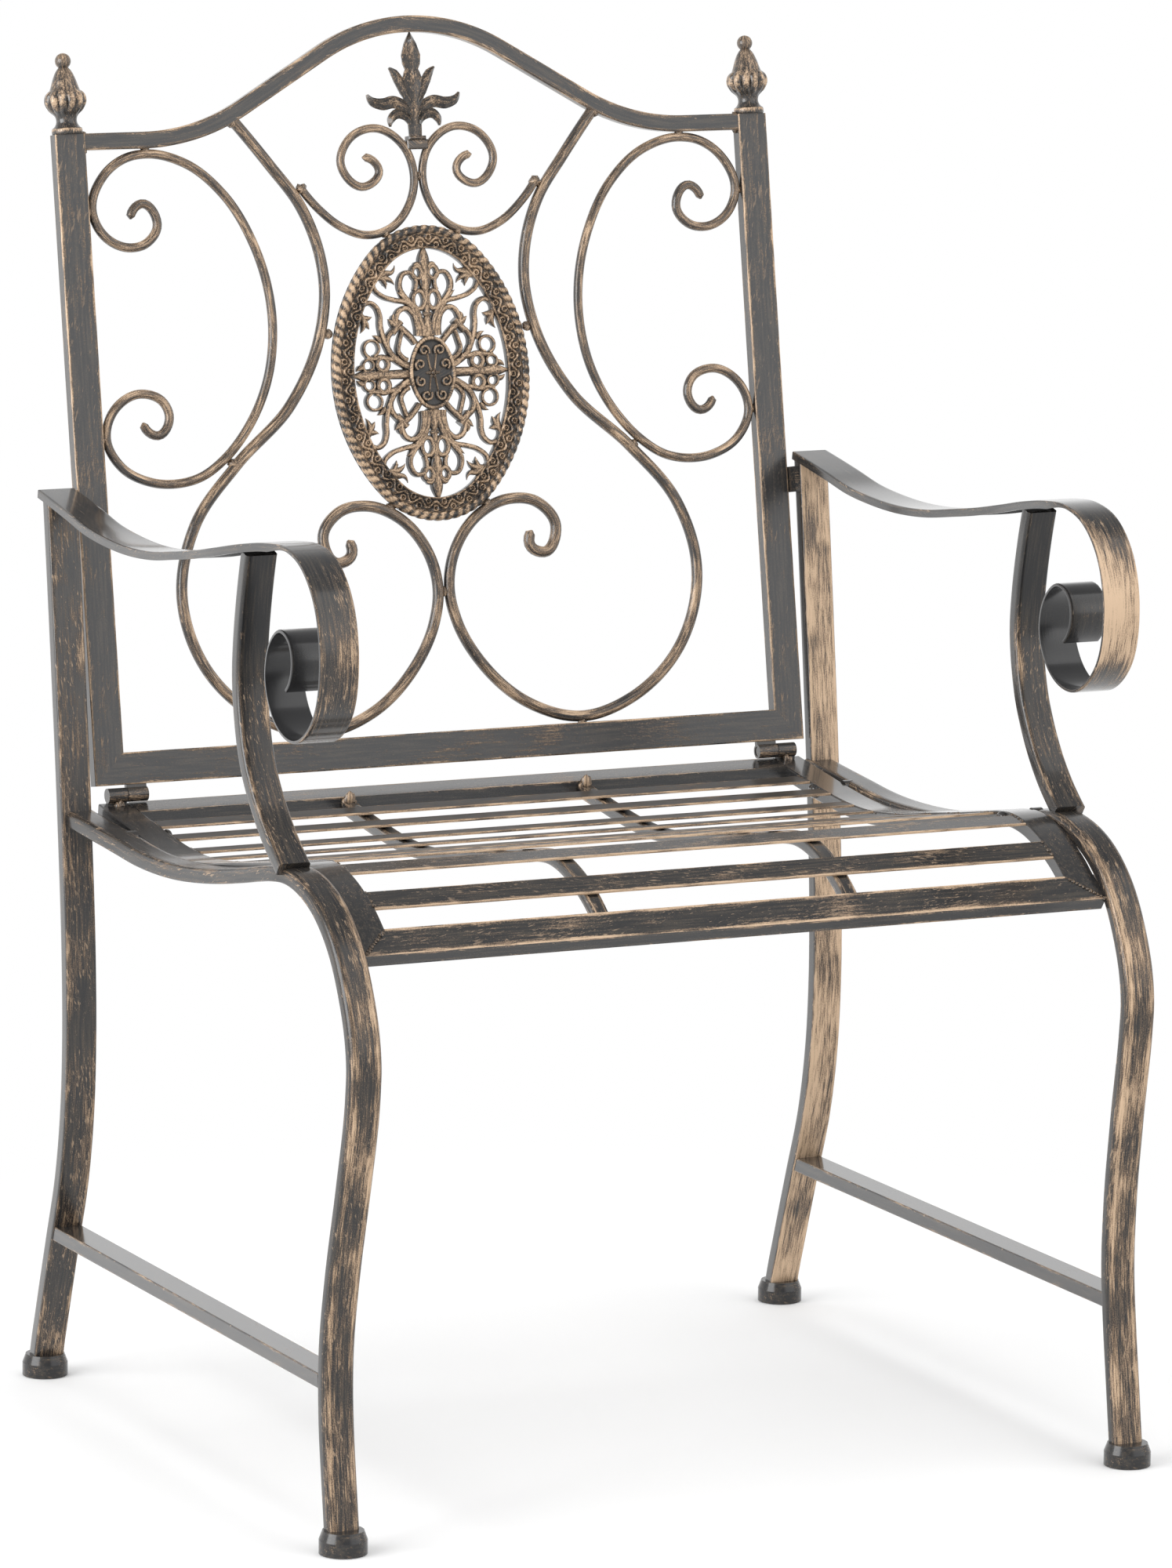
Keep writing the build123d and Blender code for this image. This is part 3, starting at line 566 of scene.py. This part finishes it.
def back_page(mirrored=False):
    """Page of the back panel's front face: X across, S up the lean, and out towards the front."""
    side = -1 if mirrored else 1
    rise, drop = cos(radians(back_lean)), sin(radians(back_lean))
    return lambda a, b, c: np.stack([side * a * mm, (back_foot_y + b * drop - c * rise) * mm + row_shift,
                                     (back_foot_z + b * rise + c * drop) * mm], -1)


def rounded_ends(points, radius):
    """Sizes of a rod's rings, drawn in to a dome at both ends."""
    reach = length_along(points)
    share = np.clip(np.minimum(reach, reach[-1] - reach) / radius, 0.02, 1)
    return np.stack([radius * np.sqrt(1 - (1 - share) ** 2)] * 2, 1)


# Part of the bronze on the rod's upper faces is painted light, the tops being the lit side.
rod_paint = brushed("rod_paint", front=0.56, top=0.82, side=0.4, back=0.45, edge=0.16)
rod_section = [(cos(2 * pi * k / rod_sides), sin(2 * pi * k / rod_sides)) for k in range(rod_sides)]
rod_rub = [max(0, x) for x, y in rod_section]
for kind, places, diameter in (("main", main_scroll_line, main_rod), ("side", side_scroll_line, side_rod),
                               ("top", top_scroll_line, top_rod)):
    for side in ("right", "left"):
        mirrored = side == "left"
        line = line_through(places, 2.6)
        rod = sweep(line, back_page(mirrored), rod_section, rod_rub, rounded_ends(line[0], diameter / 2),
                    rod_depth, flip=mirrored)
        piece(f"bent_{kind}_scroll_{side}", [rod], rod_paint, "back", "rod_bronzed",
              f"{kind}_scroll_{side}")

# Arch: flat bar on edge, bent to a peak with a rounded crown and rounded feet, welded between the uprights.
# The face is plain charcoal and the edges are rubbed bronze.
back_inner, arch_foot = 248.2, 438.6
arch_slope, arch_rise = radians(30.3), 75.0
arch_crown_radius, arch_foot_radius = 134.0, 150.0
arch_depth, arch_height = 8.0, 11.5


def arch_line():
    """Half of the arch from the left foot to the crown, then its mirror image."""
    peak_rise = arch_rise + arch_crown_radius * (1 / cos(arch_slope) - 1)
    bend = peak_rise / np.tan(arch_slope) + arch_foot_radius * np.tan(arch_slope / 2)
    turns = np.linspace(0, arch_slope, 16)
    half = [(x, arch_foot) for x in np.linspace(-back_inner, -bend, 8)[:-1]]
    half += [(-bend + arch_foot_radius * sin(turn), arch_foot + arch_foot_radius * (1 - cos(turn)))
             for turn in turns]
    half += [(-arch_crown_radius * sin(turn), arch_foot + arch_rise - arch_crown_radius * (1 - cos(turn)))
             for turn in turns[::-1]]
    return line_of(half + [(-x, s) for x, s in half[-2::-1]])


arch_paint = brushed("arch_paint", front=0.14, top=0.3, side=0.3, back=0.3, edge=0.55)
arch_section, arch_rub = tube_section(arch_depth, arch_height, tube_corner, tube_corner)
arch = sweep(arch_line(), back_page(), arch_section, arch_rub, depth=rod_depth)
piece("bent_top_arch", [arch], arch_paint, "back", "tube_paint", "back_top_arch")

# Finials: cast knobs on the uprights, with a flange, a fluted bulb, a cone and a ball.
# Bronze sits on the ribs and the upper part of the bulb, partly a painted highlight from above, and dark
# paint stays between the ribs.
upright_axis, back_height = 259.2, 444.0
finial_sides, finial_lobes, flute_depth = 72, 12, 0.17
finial_flange = ((10.0, 0), (10.6, 0.6), (10.6, 3.2), (10.2, 4.0))
finial_bulb = ((10.4, 4.2), (7.2, 8.5), (7.4, 11.5), (12.2, 17), (14.6, 22.5), (13.4, 27.6), (10.6, 30))
finial_cone = ((10.2, 30.8), (9.6, 32.5), (7.8, 38), (5.2, 43.5), (3.7, 45.4))
finial_ball_radius, finial_ball_height = 5.5, 50.1
finial_paint = brushed("finial_paint", front=0.25, top=0.3, side=0.15, back=0.2, edge=0.85, pull=0.6,
                       blotch=130.0)


def finial_rings(page):
    """Rings up a finial, from the flange to the ball, with ribs round its bulb."""
    knob = [(finial_ball_radius * sin(t), finial_ball_height - finial_ball_radius * cos(t))
            for t in np.linspace(0.65, pi - 0.08, 14)]
    bulb_line, cone_line = line_through(finial_bulb, 0.9)[0], line_through(finial_cone, 1.0)[0]
    outline = [*finial_flange, *bulb_line, *cone_line, *knob]
    turns = np.arange(finial_sides) * 2 * pi / finial_sides
    rib = np.abs(np.cos(finial_lobes / 2 * turns)) ** 0.7
    rings, rubs = [], []
    for radius, height in outline:
        bulb = np.clip(1 - abs(height - 21) / 8.5, 0, 1) ** 0.5
        reach = radius * (1 - flute_depth * bulb * (1 - rib))
        rings.append(page(upright_axis + reach * np.sin(turns), back_height + np.full(finial_sides, height),
                          rod_depth + reach * np.cos(turns)))
        # Painted highlight: bronze only on the upper part of the finial, where the light falls from above.
        upper_highlight = np.clip((height - 13) / 8, 0, 1)
        flange = 0.8 if 2 < height < 4.1 else 0.0
        rubs.append(flange + 0.1 + 0.9 * upper_highlight * (bulb * rib + (1 - bulb) * 0.42))
    return rings, np.array(rubs)


for side in ("right", "left"):
    mirrored = side == "left"
    finial = skin(*finial_rings(back_page(mirrored)), flip=not mirrored)
    piece(f"fluted_finial_{side}", [finial], finial_paint, "back", "cast_bronzed", f"finial_{side}",
          sharp=60)

# Medallion rim: cast oval ring, with a rope moulding outside and a running leaf scroll inside.
# Bronze lies on the high relief and the hollows stay dark.
medal_rise = 271.0
rim_oval = (75.0, 103.0, 57.0)
rim_band, rope_width = 16.6, 6.4
rope_turns, rope_steps = 84, 10
scroll_waves, wave_length = 38, 13.4


def medal_page(a, b, c):
    """Page of the back panel, measured from the middle of the medallion."""
    return back_page()(a, b + medal_rise, c)


def oval_line(oval, inset, count):
    """Evenly spaced points, anticlockwise, on an oval of four arcs drawn in by an inset.

    The oval has its half width, its half height and the radius of its ends.
    """
    width, height, end = (size - inset for size in oval)
    flank = (width ** 2 + height ** 2 - 2 * height * end) / (2 * (width - end))
    rise, shift = height - end, flank - width
    meet = np.arctan2(rise, shift)
    arcs = (((-shift, 0), flank, -meet, meet), ((0, rise), end, meet, pi - meet),
            ((shift, 0), flank, pi - meet, pi + meet), ((0, -rise), end, pi + meet, 2 * pi - meet))
    points = []
    for (x, y), radius, start, stop in arcs:
        turns = np.linspace(start, stop, 400)[:-1]
        points += [(x + radius * cos(t), y + radius * sin(t)) for t in turns]
    points = np.array(points)
    reach = length_along(points)
    even = np.arange(count) / count * (reach[-1] + np.linalg.norm(points[0] - points[-1]))
    return line_of(np.stack([np.interp(even, reach, points[:, i]) for i in (0, 1)], 1), loop=True)


def hump(distance, width):
    """Rounded rise, 1 high in its middle."""
    return np.exp(-(distance / width) ** 2)


def rim_rings():
    """Rings round the rim: the back, the leaf band and the rope, with relief worked into each."""
    count = rope_turns * rope_steps
    half = rim_band / 2
    rings, rubs = [], []
    band = np.linspace(-half + 0.8, half - rope_width, 13)
    band_width = band[-1] - band[0]
    rope = np.linspace(-0.5 * pi, 0.62 * pi, 13)
    for (a, b), (ra, rb), t in zip(*oval_line(rim_oval, half, count), np.arange(count) / count):
        section = [(-half + 0.5, -8.0), (-half, -7.0), (-half, -2.6), (-half + 0.3, -1.6)]
        rub = [0.1, 0.1, 0.3, 0.9]
        wave = t * scroll_waves % 1
        for y in band:
            across = (y - band[0]) / band_width
            height = hump(across - 0.5 - 0.26 * sin(2 * pi * wave), 0.13)
            for curl_at, curl_across in ((0.25, 0.26), (0.75, 0.74)):
                away = np.hypot((wave - curl_at) * wave_length, (across - curl_across) * band_width)
                height = max(height, hump(away - 1.8, 0.75), hump(away, 0.7))
            height = max(height, hump(across, 0.10) * 0.9, hump(across - 1, 0.10) * 0.5)
            section.append((y, -3.2 + 2.6 * min(height, 1.1)))
            rub.append(0.15 + 0.85 * min(height, 1))
        for turn in rope[::-1]:
            strand_share = (t * rope_turns + turn / (2 * pi) * 1.5) % 1
            swell = sin(pi * strand_share) ** 0.6
            radius = (rope_width / 2) * (0.72 + 0.28 * swell)
            section.append((half - rope_width / 2 + radius * sin(turn), -3.6 + radius * cos(turn) * 1.15))
            rub.append(0.05 + 0.95 * swell ** 2)
        section += [(half - 1.2, -8.2), (half - 2.4, -9.0), (-half + 1.6, -9.0)]
        rub += [0.1, 0.1, 0.1]
        y, c = np.array(section).T
        rings.append(medal_page(a + y * ra, b + y * rb, c))
        rubs.append(rub)
    return rings, np.array(rubs)


relief_paint = brushed("relief_paint", front=0.18, top=0.3, side=0.08, back=0.15, edge=0.85, gloss=0.45,
                       rough=0.34, pull=0.4)
rim = skin(*rim_rings(), loop=True, flip=True)
piece("roped_medallion_rim", [rim], relief_paint, "back", "cast_bronzed", "medallion_rim", sharp=60)

# Filigree: openwork casting inside the rim, of spears, tied stems, curls and leaf tips in four like
# quarters. Bronze lies on the fronts of the strands and their deep sides stay dark.
strand_section = ((1, 0), (0.8, 0.6), (0.3, 0.95), (-0.4, 1), (-1.9, 1), (-2.1, 0.6),
                  (-2.1, -0.6), (-1.9, -1), (-0.4, -1), (0.3, -0.95), (0.8, -0.6))
strand_rub = (1, 0.75, 0.3, 0, 0, 0, 0, 0, 0, 0.3, 0.75)
strand_depth, lace_depth = 1.9, -4.4
lace_weight, leaf_weight, curl_weight = 1.5, 1.3, 1.15


def lay_strand(line, depth, width, sink=lace_depth, loop=False):
    """Strand along a line, with its depth and half-width at each point."""
    size = np.stack([np.broadcast_to(depth, len(line[0])), np.broadcast_to(width, len(line[0]))], 1)
    return sweep(line, medal_page, strand_section, strand_rub, size, sink, loop)


def strand(places, root, tip, depth=strand_depth):
    """Half-round strand through the places, from one half-width to another."""
    line = line_through(places, 1.1)
    return lay_strand(line, depth, lace_weight * np.linspace(root, tip, len(line[0])))


def leaf(places, half_width, depth=2.0, fullness=0.75):
    """Pointed leaf: a strand that swells and tapers to its tip."""
    line = line_through(places, 1.0)
    t = np.linspace(0.04, 1, len(line[0]))
    swell = np.clip(np.sin(pi * t ** fullness), 0.08, 1)
    return lay_strand(line, depth * swell ** 0.6, half_width * leaf_weight * swell)


def curl(x, y, wide, high):
    """Closed loop of strand."""
    turns = np.arange(28) * 2 * pi / 28
    line = line_of(np.stack([x + wide * np.cos(turns), y + high * np.sin(turns)], 1), loop=True)
    return lay_strand(line, strand_depth, lace_weight * curl_weight, loop=True)


def volute(x, y, start_radius, end_radius, wound, root, tip, sink=lace_depth, depth=strand_depth):
    """Spiral of strand that winds in to a rounded end, from a start angle by a turn."""
    t = np.linspace(0, 1, 30)
    radius = start_radius + (end_radius - start_radius) * t
    angle = np.radians(wound[0] + wound[1] * t)
    line = line_of(np.stack([x + radius * np.cos(angle), y + radius * np.sin(angle)], 1))
    return lay_strand(line, depth, np.linspace(root, tip, len(t)), sink)


def wind(start, turn, side, end):
    """Start angle and turn of a spiral, mirrored to its quarter."""
    if side < 0:
        start, turn = 180 - start, -turn
    if end < 0:
        start, turn = -start, -turn
    return start, turn


def ball(x, y, wide, high, depth=2.2, page=medal_page, sink=lace_depth, roughness=0.0):
    """Small lump, smooth or rough, centred on a page."""
    rings = []
    turns = np.arange(12) * 2 * pi / 12
    for lift in np.linspace(-0.48 * pi, 0.48 * pi, 8):
        a, b, c = cos(lift) * np.cos(turns), cos(lift) * np.sin(turns), np.full(12, sin(lift))
        spots = [Vector((x + 2 * p, y + 2 * q, 3 * r)) for p, q, r in zip(a, b, c)]
        bumps = np.array([1 + roughness * noise.noise(spot) for spot in spots])
        rings.append(page(x + wide * a * bumps, y + high * b * bumps, sink + depth * c * bumps))
    return skin(rings, 0.7)


def spears(end):
    """Upright spear and level arm of the filigree, towards one end and one side."""
    return [leaf([(0, end * 24), (0, end * 33), (0, end * 44)], 4.2, 2.4, 0.5),
            ball(0, end * 41, 3.6, 2.2),
            strand([(0, end * 40), (0, end * 52), (0, end * 64)], 1.6, 1.6),
            ball(0, end * 48, 2.5, 2.0),
            leaf([(0, end * 56), (0, end * 66), (0, end * 78)], 3.6, 2.4),
            ball(0, end * 63, 3.6, 1.8),
            leaf([(0, end * 70), (0, end * 80), (0, end * 89.5)], 3.2, 2.2),
            strand([(end * 16, 0), (end * 26, 0), (end * 42, 0)], 2.4, 2.0),
            ball(end * 36.5, 0, 2.2, 3.4),
            ball(end * 40.2, 0, 1.5, 2.8),
            leaf([(end * 40, 0), (end * 49, 0), (end * 61, 0)], 3.6, 2.3, 0.6)]


def quarter(side, end):
    """One quarter of the filigree, mirrored to its side and end."""

    def place(*spots):
        return [(side * x, end * y) for x, y in spots]

    return [curl(side * 5.6, end * 51, 4.5, 6.4),
            curl(side * 6, end * 70, 3.6, 4.4),
            leaf(place((3, 72), (6, 76), (9, 74)), 1.4),
            strand(place((3, 26), (5.5, 38), (9, 46), (15, 52), (19, 58)), 1.7, 1.2),
            strand(place((19, 58), (19.3, 64), (15, 70), (9.5, 69), (7, 62.5), (8.5, 57.5)), 1.3, 1.0),
            leaf(place((14, 50), (18, 54), (22, 57)), 1.5),
            strand(place((6, 26), (9, 40), (14, 49), (24, 51.5), (33, 54.5), (39.2, 60.5), (39, 66),
                         (33.5, 66.5), (30.2, 62)), 1.5, 0.9),
            leaf(place((39, 65), (30, 70), (24.5, 71), (22.5, 75.5)), 2.0),
            leaf(place((36, 66), (29, 66.5), (23.5, 62)), 1.8),
            leaf(place((34, 68), (31, 64), (30, 59.5)), 1.3),
            strand(place((36, 66), (37.6, 68), (38.5, 70)), 1.8, 1.4),
            strand(place((8, 26), (8.4, 35), (11, 42), (16.5, 45.5), (21.5, 43.5), (24, 38), (24.6, 33)),
                   1.5, 1.2),
            strand(place((10, 21), (15, 27), (22, 33), (25, 35)), 1.4, 1.7),
            leaf(place((23, 33), (27, 36), (30, 38.5)), 2.0),
            leaf(place((24, 36), (26, 39), (25, 42)), 1.4),
            strand(place((20.5, 36.5), (24, 32.5), (27.5, 28.5)), 1.7, 1.7, 2.5),
            strand(place((27, 30), (31.5, 24), (31, 17), (25.5, 10.5), (17, 5)), 1.3, 1.6),
            strand(place((20, 29), (22.5, 22), (23.6, 16), (21, 12), (17, 9.5)), 1.1, 1.3),
            strand(place((16, 6), (25.5, 10), (31, 17.5), (34.5, 26), (36, 34), (36, 41), (38.4, 47.2),
                         (43.5, 50.2), (49, 47.5), (50.2, 42)), 1.6, 1.1),
            leaf(place((51, 43), (48.5, 38), (51.5, 29.5)), 1.9),
            leaf(place((50, 40), (46, 39.5), (42, 40.5)), 1.7),
            leaf(place((48, 39), (46.5, 35.5), (44.5, 32)), 1.4),
            curl(side * 36, end * 7.4, 4.4, 4.6),
            volute(side * 46.6, end * 6.8, 4.6, 3.2, wind(-60, 320, side, end), 1.2, 0.9),
            leaf(place((50, 6), (54, 5), (56.5, 3)), 1.5),
            strand(place((24, 11), (31, 11), (36, 12.5), (42, 11.5), (48, 11.8)), 1.4, 1.1),
            volute(side * 43.6, end * 18.4, 6.2, 5.2, wind(-70, 330, side, end), 1.3, 1.0),
            leaf(place((36.5, 22), (38.5, 25.5), (42.5, 27.5)), 1.5)]


lace = []
for end in (1, -1):
    lace += spears(end) + quarter(1, end) + quarter(-1, end)
piece("cast_filigree", lace, relief_paint, "back", "cast_bronzed", "medallion_filigree", sharp=60)

# Boss: oval button cast in the middle of the filigree, with a raised edge.
# Eight small volutes and a ring of beads stand on its dark ground.
boss_oval, boss_sides = (17.5, 25.5, 13.5), 72
boss_steps = ((0.0, -2.5), (0.0, -0.6), (0.5, 0.2), (1.4, 0.5), (2.3, 0.2), (2.8, -0.9), (4.5, -1.3),
              (8, -1.0), (11, -0.8))
boss_rubs = (0.1, 0.5, 0.9, 1.0, 0.8, 0.05, 0.0, 0.0, 0.05)
rings = []
for inset, height in boss_steps:
    points, _ = oval_line(boss_oval, inset, boss_sides)
    rings.append(medal_page(points[:, 0], points[:, 1], np.full(boss_sides, height)))
boss = [skin(rings, np.array(boss_rubs)[:, None])]
for side in (1, -1):
    for end in (1, -1):
        for x, y, radius, start, turn in ((5.8, 15.4, 4.0, -150, -400), (9.4, 5.8, 3.8, -60, 400)):
            wound = wind(start, turn, side, end)
            boss.append(volute(side * x, end * y, radius, 1.2, wound, 1.1, 1.0, 0.0, 1.3))
        stem = [(side * 1.5, end * 2), (side * 2.6, end * 8), (side * 3.4, end * 13.5)]
        boss.append(strand(stem, 0.6, 0.6, 5.0))
    boss.append(ball(side * 4.2, 0, 1.3, 1.0, 1.0, sink=-0.5))
boss += [ball(2.6 * cos(t), 2.6 * sin(t), 1.3, 1.3, 1.1, sink=-0.4) for t in np.arange(6) * pi / 3]
boss.append(ball(0, 0, 1.6, 1.6, 1.5, sink=-0.2))
piece("cast_boss", boss, relief_paint, "back", "cast_bronzed", "medallion_boss", sharp=60)

# Fleur: cast lily under the crown of the arch, of ribbed leaves on a collared stem.
# It stands on the top scrolls and is welded to them.
panel_page = back_page()
fleur_paint = brushed("fleur_paint", front=0.3, top=0.3, side=0.15, back=0.2, edge=0.4, pull=0.5,
                      blotch=110.0)
ridge_section = ((1, 0), (0.5, 0.55), (0.1, 1), (-0.5, 0.95), (-1, 0.5), (-1, -0.5), (-0.5, -0.95),
                 (0.1, -1), (0.5, -0.55))
ridge_rub = (1, 0.25, 0.75, 0.1, 0, 0, 0.1, 0.75, 0.25)
tip_leaf = ((0, 478, 3.0), (0, 486, 6.6), (0, 492, 7.2), (0, 500, 4.6), (0, 508, 0.4))
middle_leaf = ((0, 433, 4.6), (0, 446, 5.2), (0, 458, 7.0), (0, 470, 9.4), (0, 480, 6.0), (0, 490, 1.0))
upper_leaf = ((2, 458, 2.0), (6.5, 467, 3.6), (10.5, 475, 3.6), (13.5, 480, 2.8), (17.2, 483.4, 0.8))
wing_leaf = ((1, 447, 2.0), (7, 456, 4.0), (15, 459.6, 4.4), (24, 458.4, 4.2), (31, 460.4, 3.2),
             (34.8, 465.4, 0.9))
lower_leaf = ((3, 444, 2.0), (8, 450.5, 3.4), (13.5, 451.4, 3.6), (17.8, 447.6, 2.8), (18.6, 442.6, 0.8))


def blade(places, depth):
    """Ridged leaf through places that each name a half-width too."""
    spots = np.array(places, float)
    line = line_through(spots[:, :2], 1.2)
    steps = length_along(line[0])
    marks = [steps[np.argmin(np.linalg.norm(line[0] - spot[:2], axis=1))] for spot in spots]
    width = np.interp(steps, marks, spots[:, 2])
    size = np.stack([np.minimum(depth, 0.4 + width), width], 1)
    return sweep(line, panel_page, ridge_section, ridge_rub, size, rod_depth)


def block(x, s, half_width, half_height, depth):
    """Small squared lump with bevelled edges."""
    rings = []
    for inset, height in ((0.0, -depth), (0.0, depth - 0.9), (0.9, depth)):
        wide, high = half_width - inset, half_height - inset
        a, b = np.array(((wide, high), (-wide, high), (-wide, -high), (wide, -high))).T
        rings.append(panel_page(x + a, s + b, np.full(4, rod_depth + height)))
    return skin(rings, 0.6)


fleur = [blade(tip_leaf, 3.4), blade(middle_leaf, 3.2),
         block(0, 429.8, 8.0, 3.4, 3.6), block(0, 434.4, 6.6, 1.3, 3.8)]
for side in (1, -1):
    for spots in (upper_leaf, wing_leaf, lower_leaf):
        fleur.append(blade([(side * x, s, width) for x, s, width in spots], 3.0))
piece("cast_fleur", fleur, fleur_paint, "back", "cast_bronzed", "fleur_ornament", sharp=35)

# Back welds: small lumps where the rods touch each other, the frame and the castings, and where the
# hinge barrels meet the bottom rail. They are brushed bronze.
weld_paint = brushed("weld_paint", front=0.6, top=0.5, side=0.4, back=0.4, edge=0.3)
hinge_middle = (hinge_low.x + hinge_high.x) / 2 / mm
side_welds = [(246.4, 391, 3.0), (246.4, 236, 3.0), (203, 431.8, 3.2), (152, 214.5, 4.2), (99.8, 23, 3.4),
              (75.6, 301, 3.4), (27.5, 369.5, 3.6), (37, 178.5, 3.8), (137.5, 449.5, 4.6),
              (88.8, 401.6, 4.0)]
side_welds += [(247.6, s, 2.0) for s in (432.6, 436, 440, 444)]
middle_welds = ((119, 2.2, 3.6, 3.6), (408, 1.6, 3.2, 3.0), (431, 5.0, 2.4, 3.4))
lumps = [ball(0, s, wide, high, deep, panel_page, rod_depth, 0.4) for s, wide, high, deep in middle_welds]
for side in (1, -1):
    lumps += [ball(side * x, s, size, size, size * 0.9, panel_page, rod_depth, 0.4)
              for x, s, size in side_welds]
    lumps += [ball(side * (hinge_middle - inward), -1.2, 2.4, 2.0, 2.4, panel_page, rod_depth + 2.0, 0.5)
              for inward in (9, 6.5)]
piece("back_weld_lumps", lumps, weld_paint, "back", "rod_bronzed", sharp=60)

# Seat welds: rough beads where the slats meet the side rails, along the front corners, under the hinge
# barrels and where the straps end at the rear rail. They are brushed bronze.
hinge_y, hinge_z = (hinge_low.y + hinge_high.y) / 2 / mm, (hinge_low.z + hinge_high.z) / 2 / mm
seat_page = strip_page((0, 0, 0), 0.0)


def weld_row(name, shares, mitre=0.0):
    """Beads along both ends of a bar's top, running in where the ends are mitred."""
    low, high, turned = bar_box(name)
    row = []
    for t in shares:
        for side in (1, -1):
            end = Vector((side * (high[0] - mitre * mm * t), low[1] + (high[1] - low[1]) * t, high[2]))
            spot = turned.transposed() @ end / mm
            size = 1.3 + 0.7 * noise.noise(Vector((spot.x, spot.y, 1.0)))
            row.append(ball(spot.x, spot.y, size, size * 1.3, size * 0.7, seat_page, spot.z - 0.2, 0.5))
    return row


beads = weld_row("seat_front_rail", np.linspace(0.04, 0.96, 12), tube_width)
for number in range(1, slat_count + 1):
    beads += weld_row(f"seat_slat_{number:02d}", np.linspace(0.25, 0.96, 4))
for side, strap_spread in ((1, strap_places["right"]), (-1, strap_places["left"])):
    beads += [ball(side * (hinge_middle + out), hinge_y - 5, 2.2, 2.2, 2.6, seat_page, hinge_z - drop, 0.5)
              for out, drop in ((6, 5.5), (8.5, 6.5))]
    beads += [ball(side * strap_spread, row + row_shift / mm, wide, 2.4, deep, seat_page, height, 0.4)
              for row, wide, deep, height in ((182, 5.5, 4.0, 402.5), (180, 4.2, 5.0, 405.5))]
piece("seat_weld_beads", beads, weld_paint, "frame", "tube_paint", sharp=60)

# Studio: the camera, a pale floor that keeps the shadow and fades to white round the chair, a white
# sky that is dimmer overhead, and three soft lamps.
camera_place = (-2281.6, -4793.0, 1341.5)
camera_turns = (-25.483, 9.658, 0.587)
focal_pixels, image_height, sensor = 10221.8, 2000, 36.0
azimuth, elevation, roll = (radians(turn) for turn in camera_turns)
backward = Vector((sin(azimuth) * cos(elevation), -cos(azimuth) * cos(elevation), sin(elevation)))
level_right = Vector((cos(azimuth), sin(azimuth), 0))
level_up = backward.cross(level_right)
right = level_right * cos(roll) + level_up * sin(roll)
up = level_up * cos(roll) - level_right * sin(roll)
lens = bpy.data.cameras.new("camera")
lens.sensor_fit = "VERTICAL"
lens.sensor_height = sensor
lens.lens = sensor * focal_pixels / image_height
camera = bpy.data.objects.new("camera", lens)
stand = Vector(camera_place) * mm + Vector((0, row_shift, 0))
camera.matrix_world = Matrix.Translation(stand) @ Matrix((right, up, backward)).transposed().to_4x4()
bpy.context.scene.collection.objects.link(camera)
bpy.context.scene.camera = camera

floor_reach, fade_start, fade_end = 30.0, 0.25, 0.9
floor_corners = [(x * floor_reach, y * floor_reach, 0) for x, y in ((-1, -1), (1, -1), (1, 1), (-1, 1))]
floor_mesh = bpy.data.meshes.new("floor")
floor_mesh.from_pydata(floor_corners, [], [(0, 1, 2, 3)])
floor = bpy.data.objects.new("floor", floor_mesh)
bpy.context.scene.collection.objects.link(floor)
floor.location.z = -0.5 * mm
floor_white = Finish("floor_white")
rays = [floor_white.node("ShaderNodeLightPath", {}, {}, f"Is {kind} Ray")
        for kind in ("Camera", "Glossy", "Transmission")]
seen = rays[0].math("MINIMUM", rays[0] + rays[1] + rays[2], 1)
spot = floor_white.node("ShaderNodeTexCoord", {}, {}, 3)
distance = floor_white.node("ShaderNodeVectorMath", {"operation": "LENGTH"}, {0: spot}, 1)
faded = floor_white.ease(distance, fade_start, fade_end)
floor_white.feed(floor_white.shader, {"Base Color": (0.86, 0.86, 0.86, 1), "Roughness": 0.9,
                                      "Specular IOR Level": 0.0})
matt = Link(floor_white, floor_white.shader.outputs[0])
glow = floor_white.node("ShaderNodeEmission", {}, {"Color": (1, 1, 1, 1), "Strength": 1.0})
blend = floor_white.node("ShaderNodeMixShader", {}, {0: seen * faded, 1: matt, 2: glow})
floor_white.feed(floor_white.tree.nodes["Material Output"], {"Surface": blend})
floor_mesh.materials.append(floor_white.material)

sky = Finish("studio", bpy.data.worlds, "Background")
bpy.context.scene.world = sky.material
towards = sky.node("ShaderNodeTexCoord", {}, {}, 0)
dimmed = sky.ease(sky.axes(towards)[2], 0.15, 0.75)
lights = sky.node("ShaderNodeLightPath", {}, {}, "Is Diffuse Ray")
sky_strength = lights * 0.65 + (1 - lights) * (1 - dimmed * 0.65)
sky.feed(sky.shader, {"Color": (1, 1, 1, 1), "Strength": sky_strength})


def lamp(name, place, target, size, power, mirrored=True):
    """Square soft lamp that faces a target, with or without its own mirror image in the paint."""
    light = bpy.data.lights.new(name, "AREA")
    light.size = size
    light.energy = power
    made = bpy.data.objects.new(name, light)
    made.location = place
    made.rotation_euler = (Vector(target) - Vector(place)).to_track_quat("-Z", "Y").to_euler()
    made.visible_glossy = mirrored
    bpy.context.scene.collection.objects.link(made)


lamp("left", (-2.8, -0.4, 1.4), (0, 0, 0.6), 2.2, 75)
lamp("right", (1.7, -2.1, 2.1), (0.1, 0, 0.6), 3.6, 42)
lamp("over", (0.1, 0.2, 2.6), (0, 0, 0.5), 2.0, 30, False)

bpy.context.scene.view_settings.view_transform = "Standard"
bpy.context.view_layer.update()
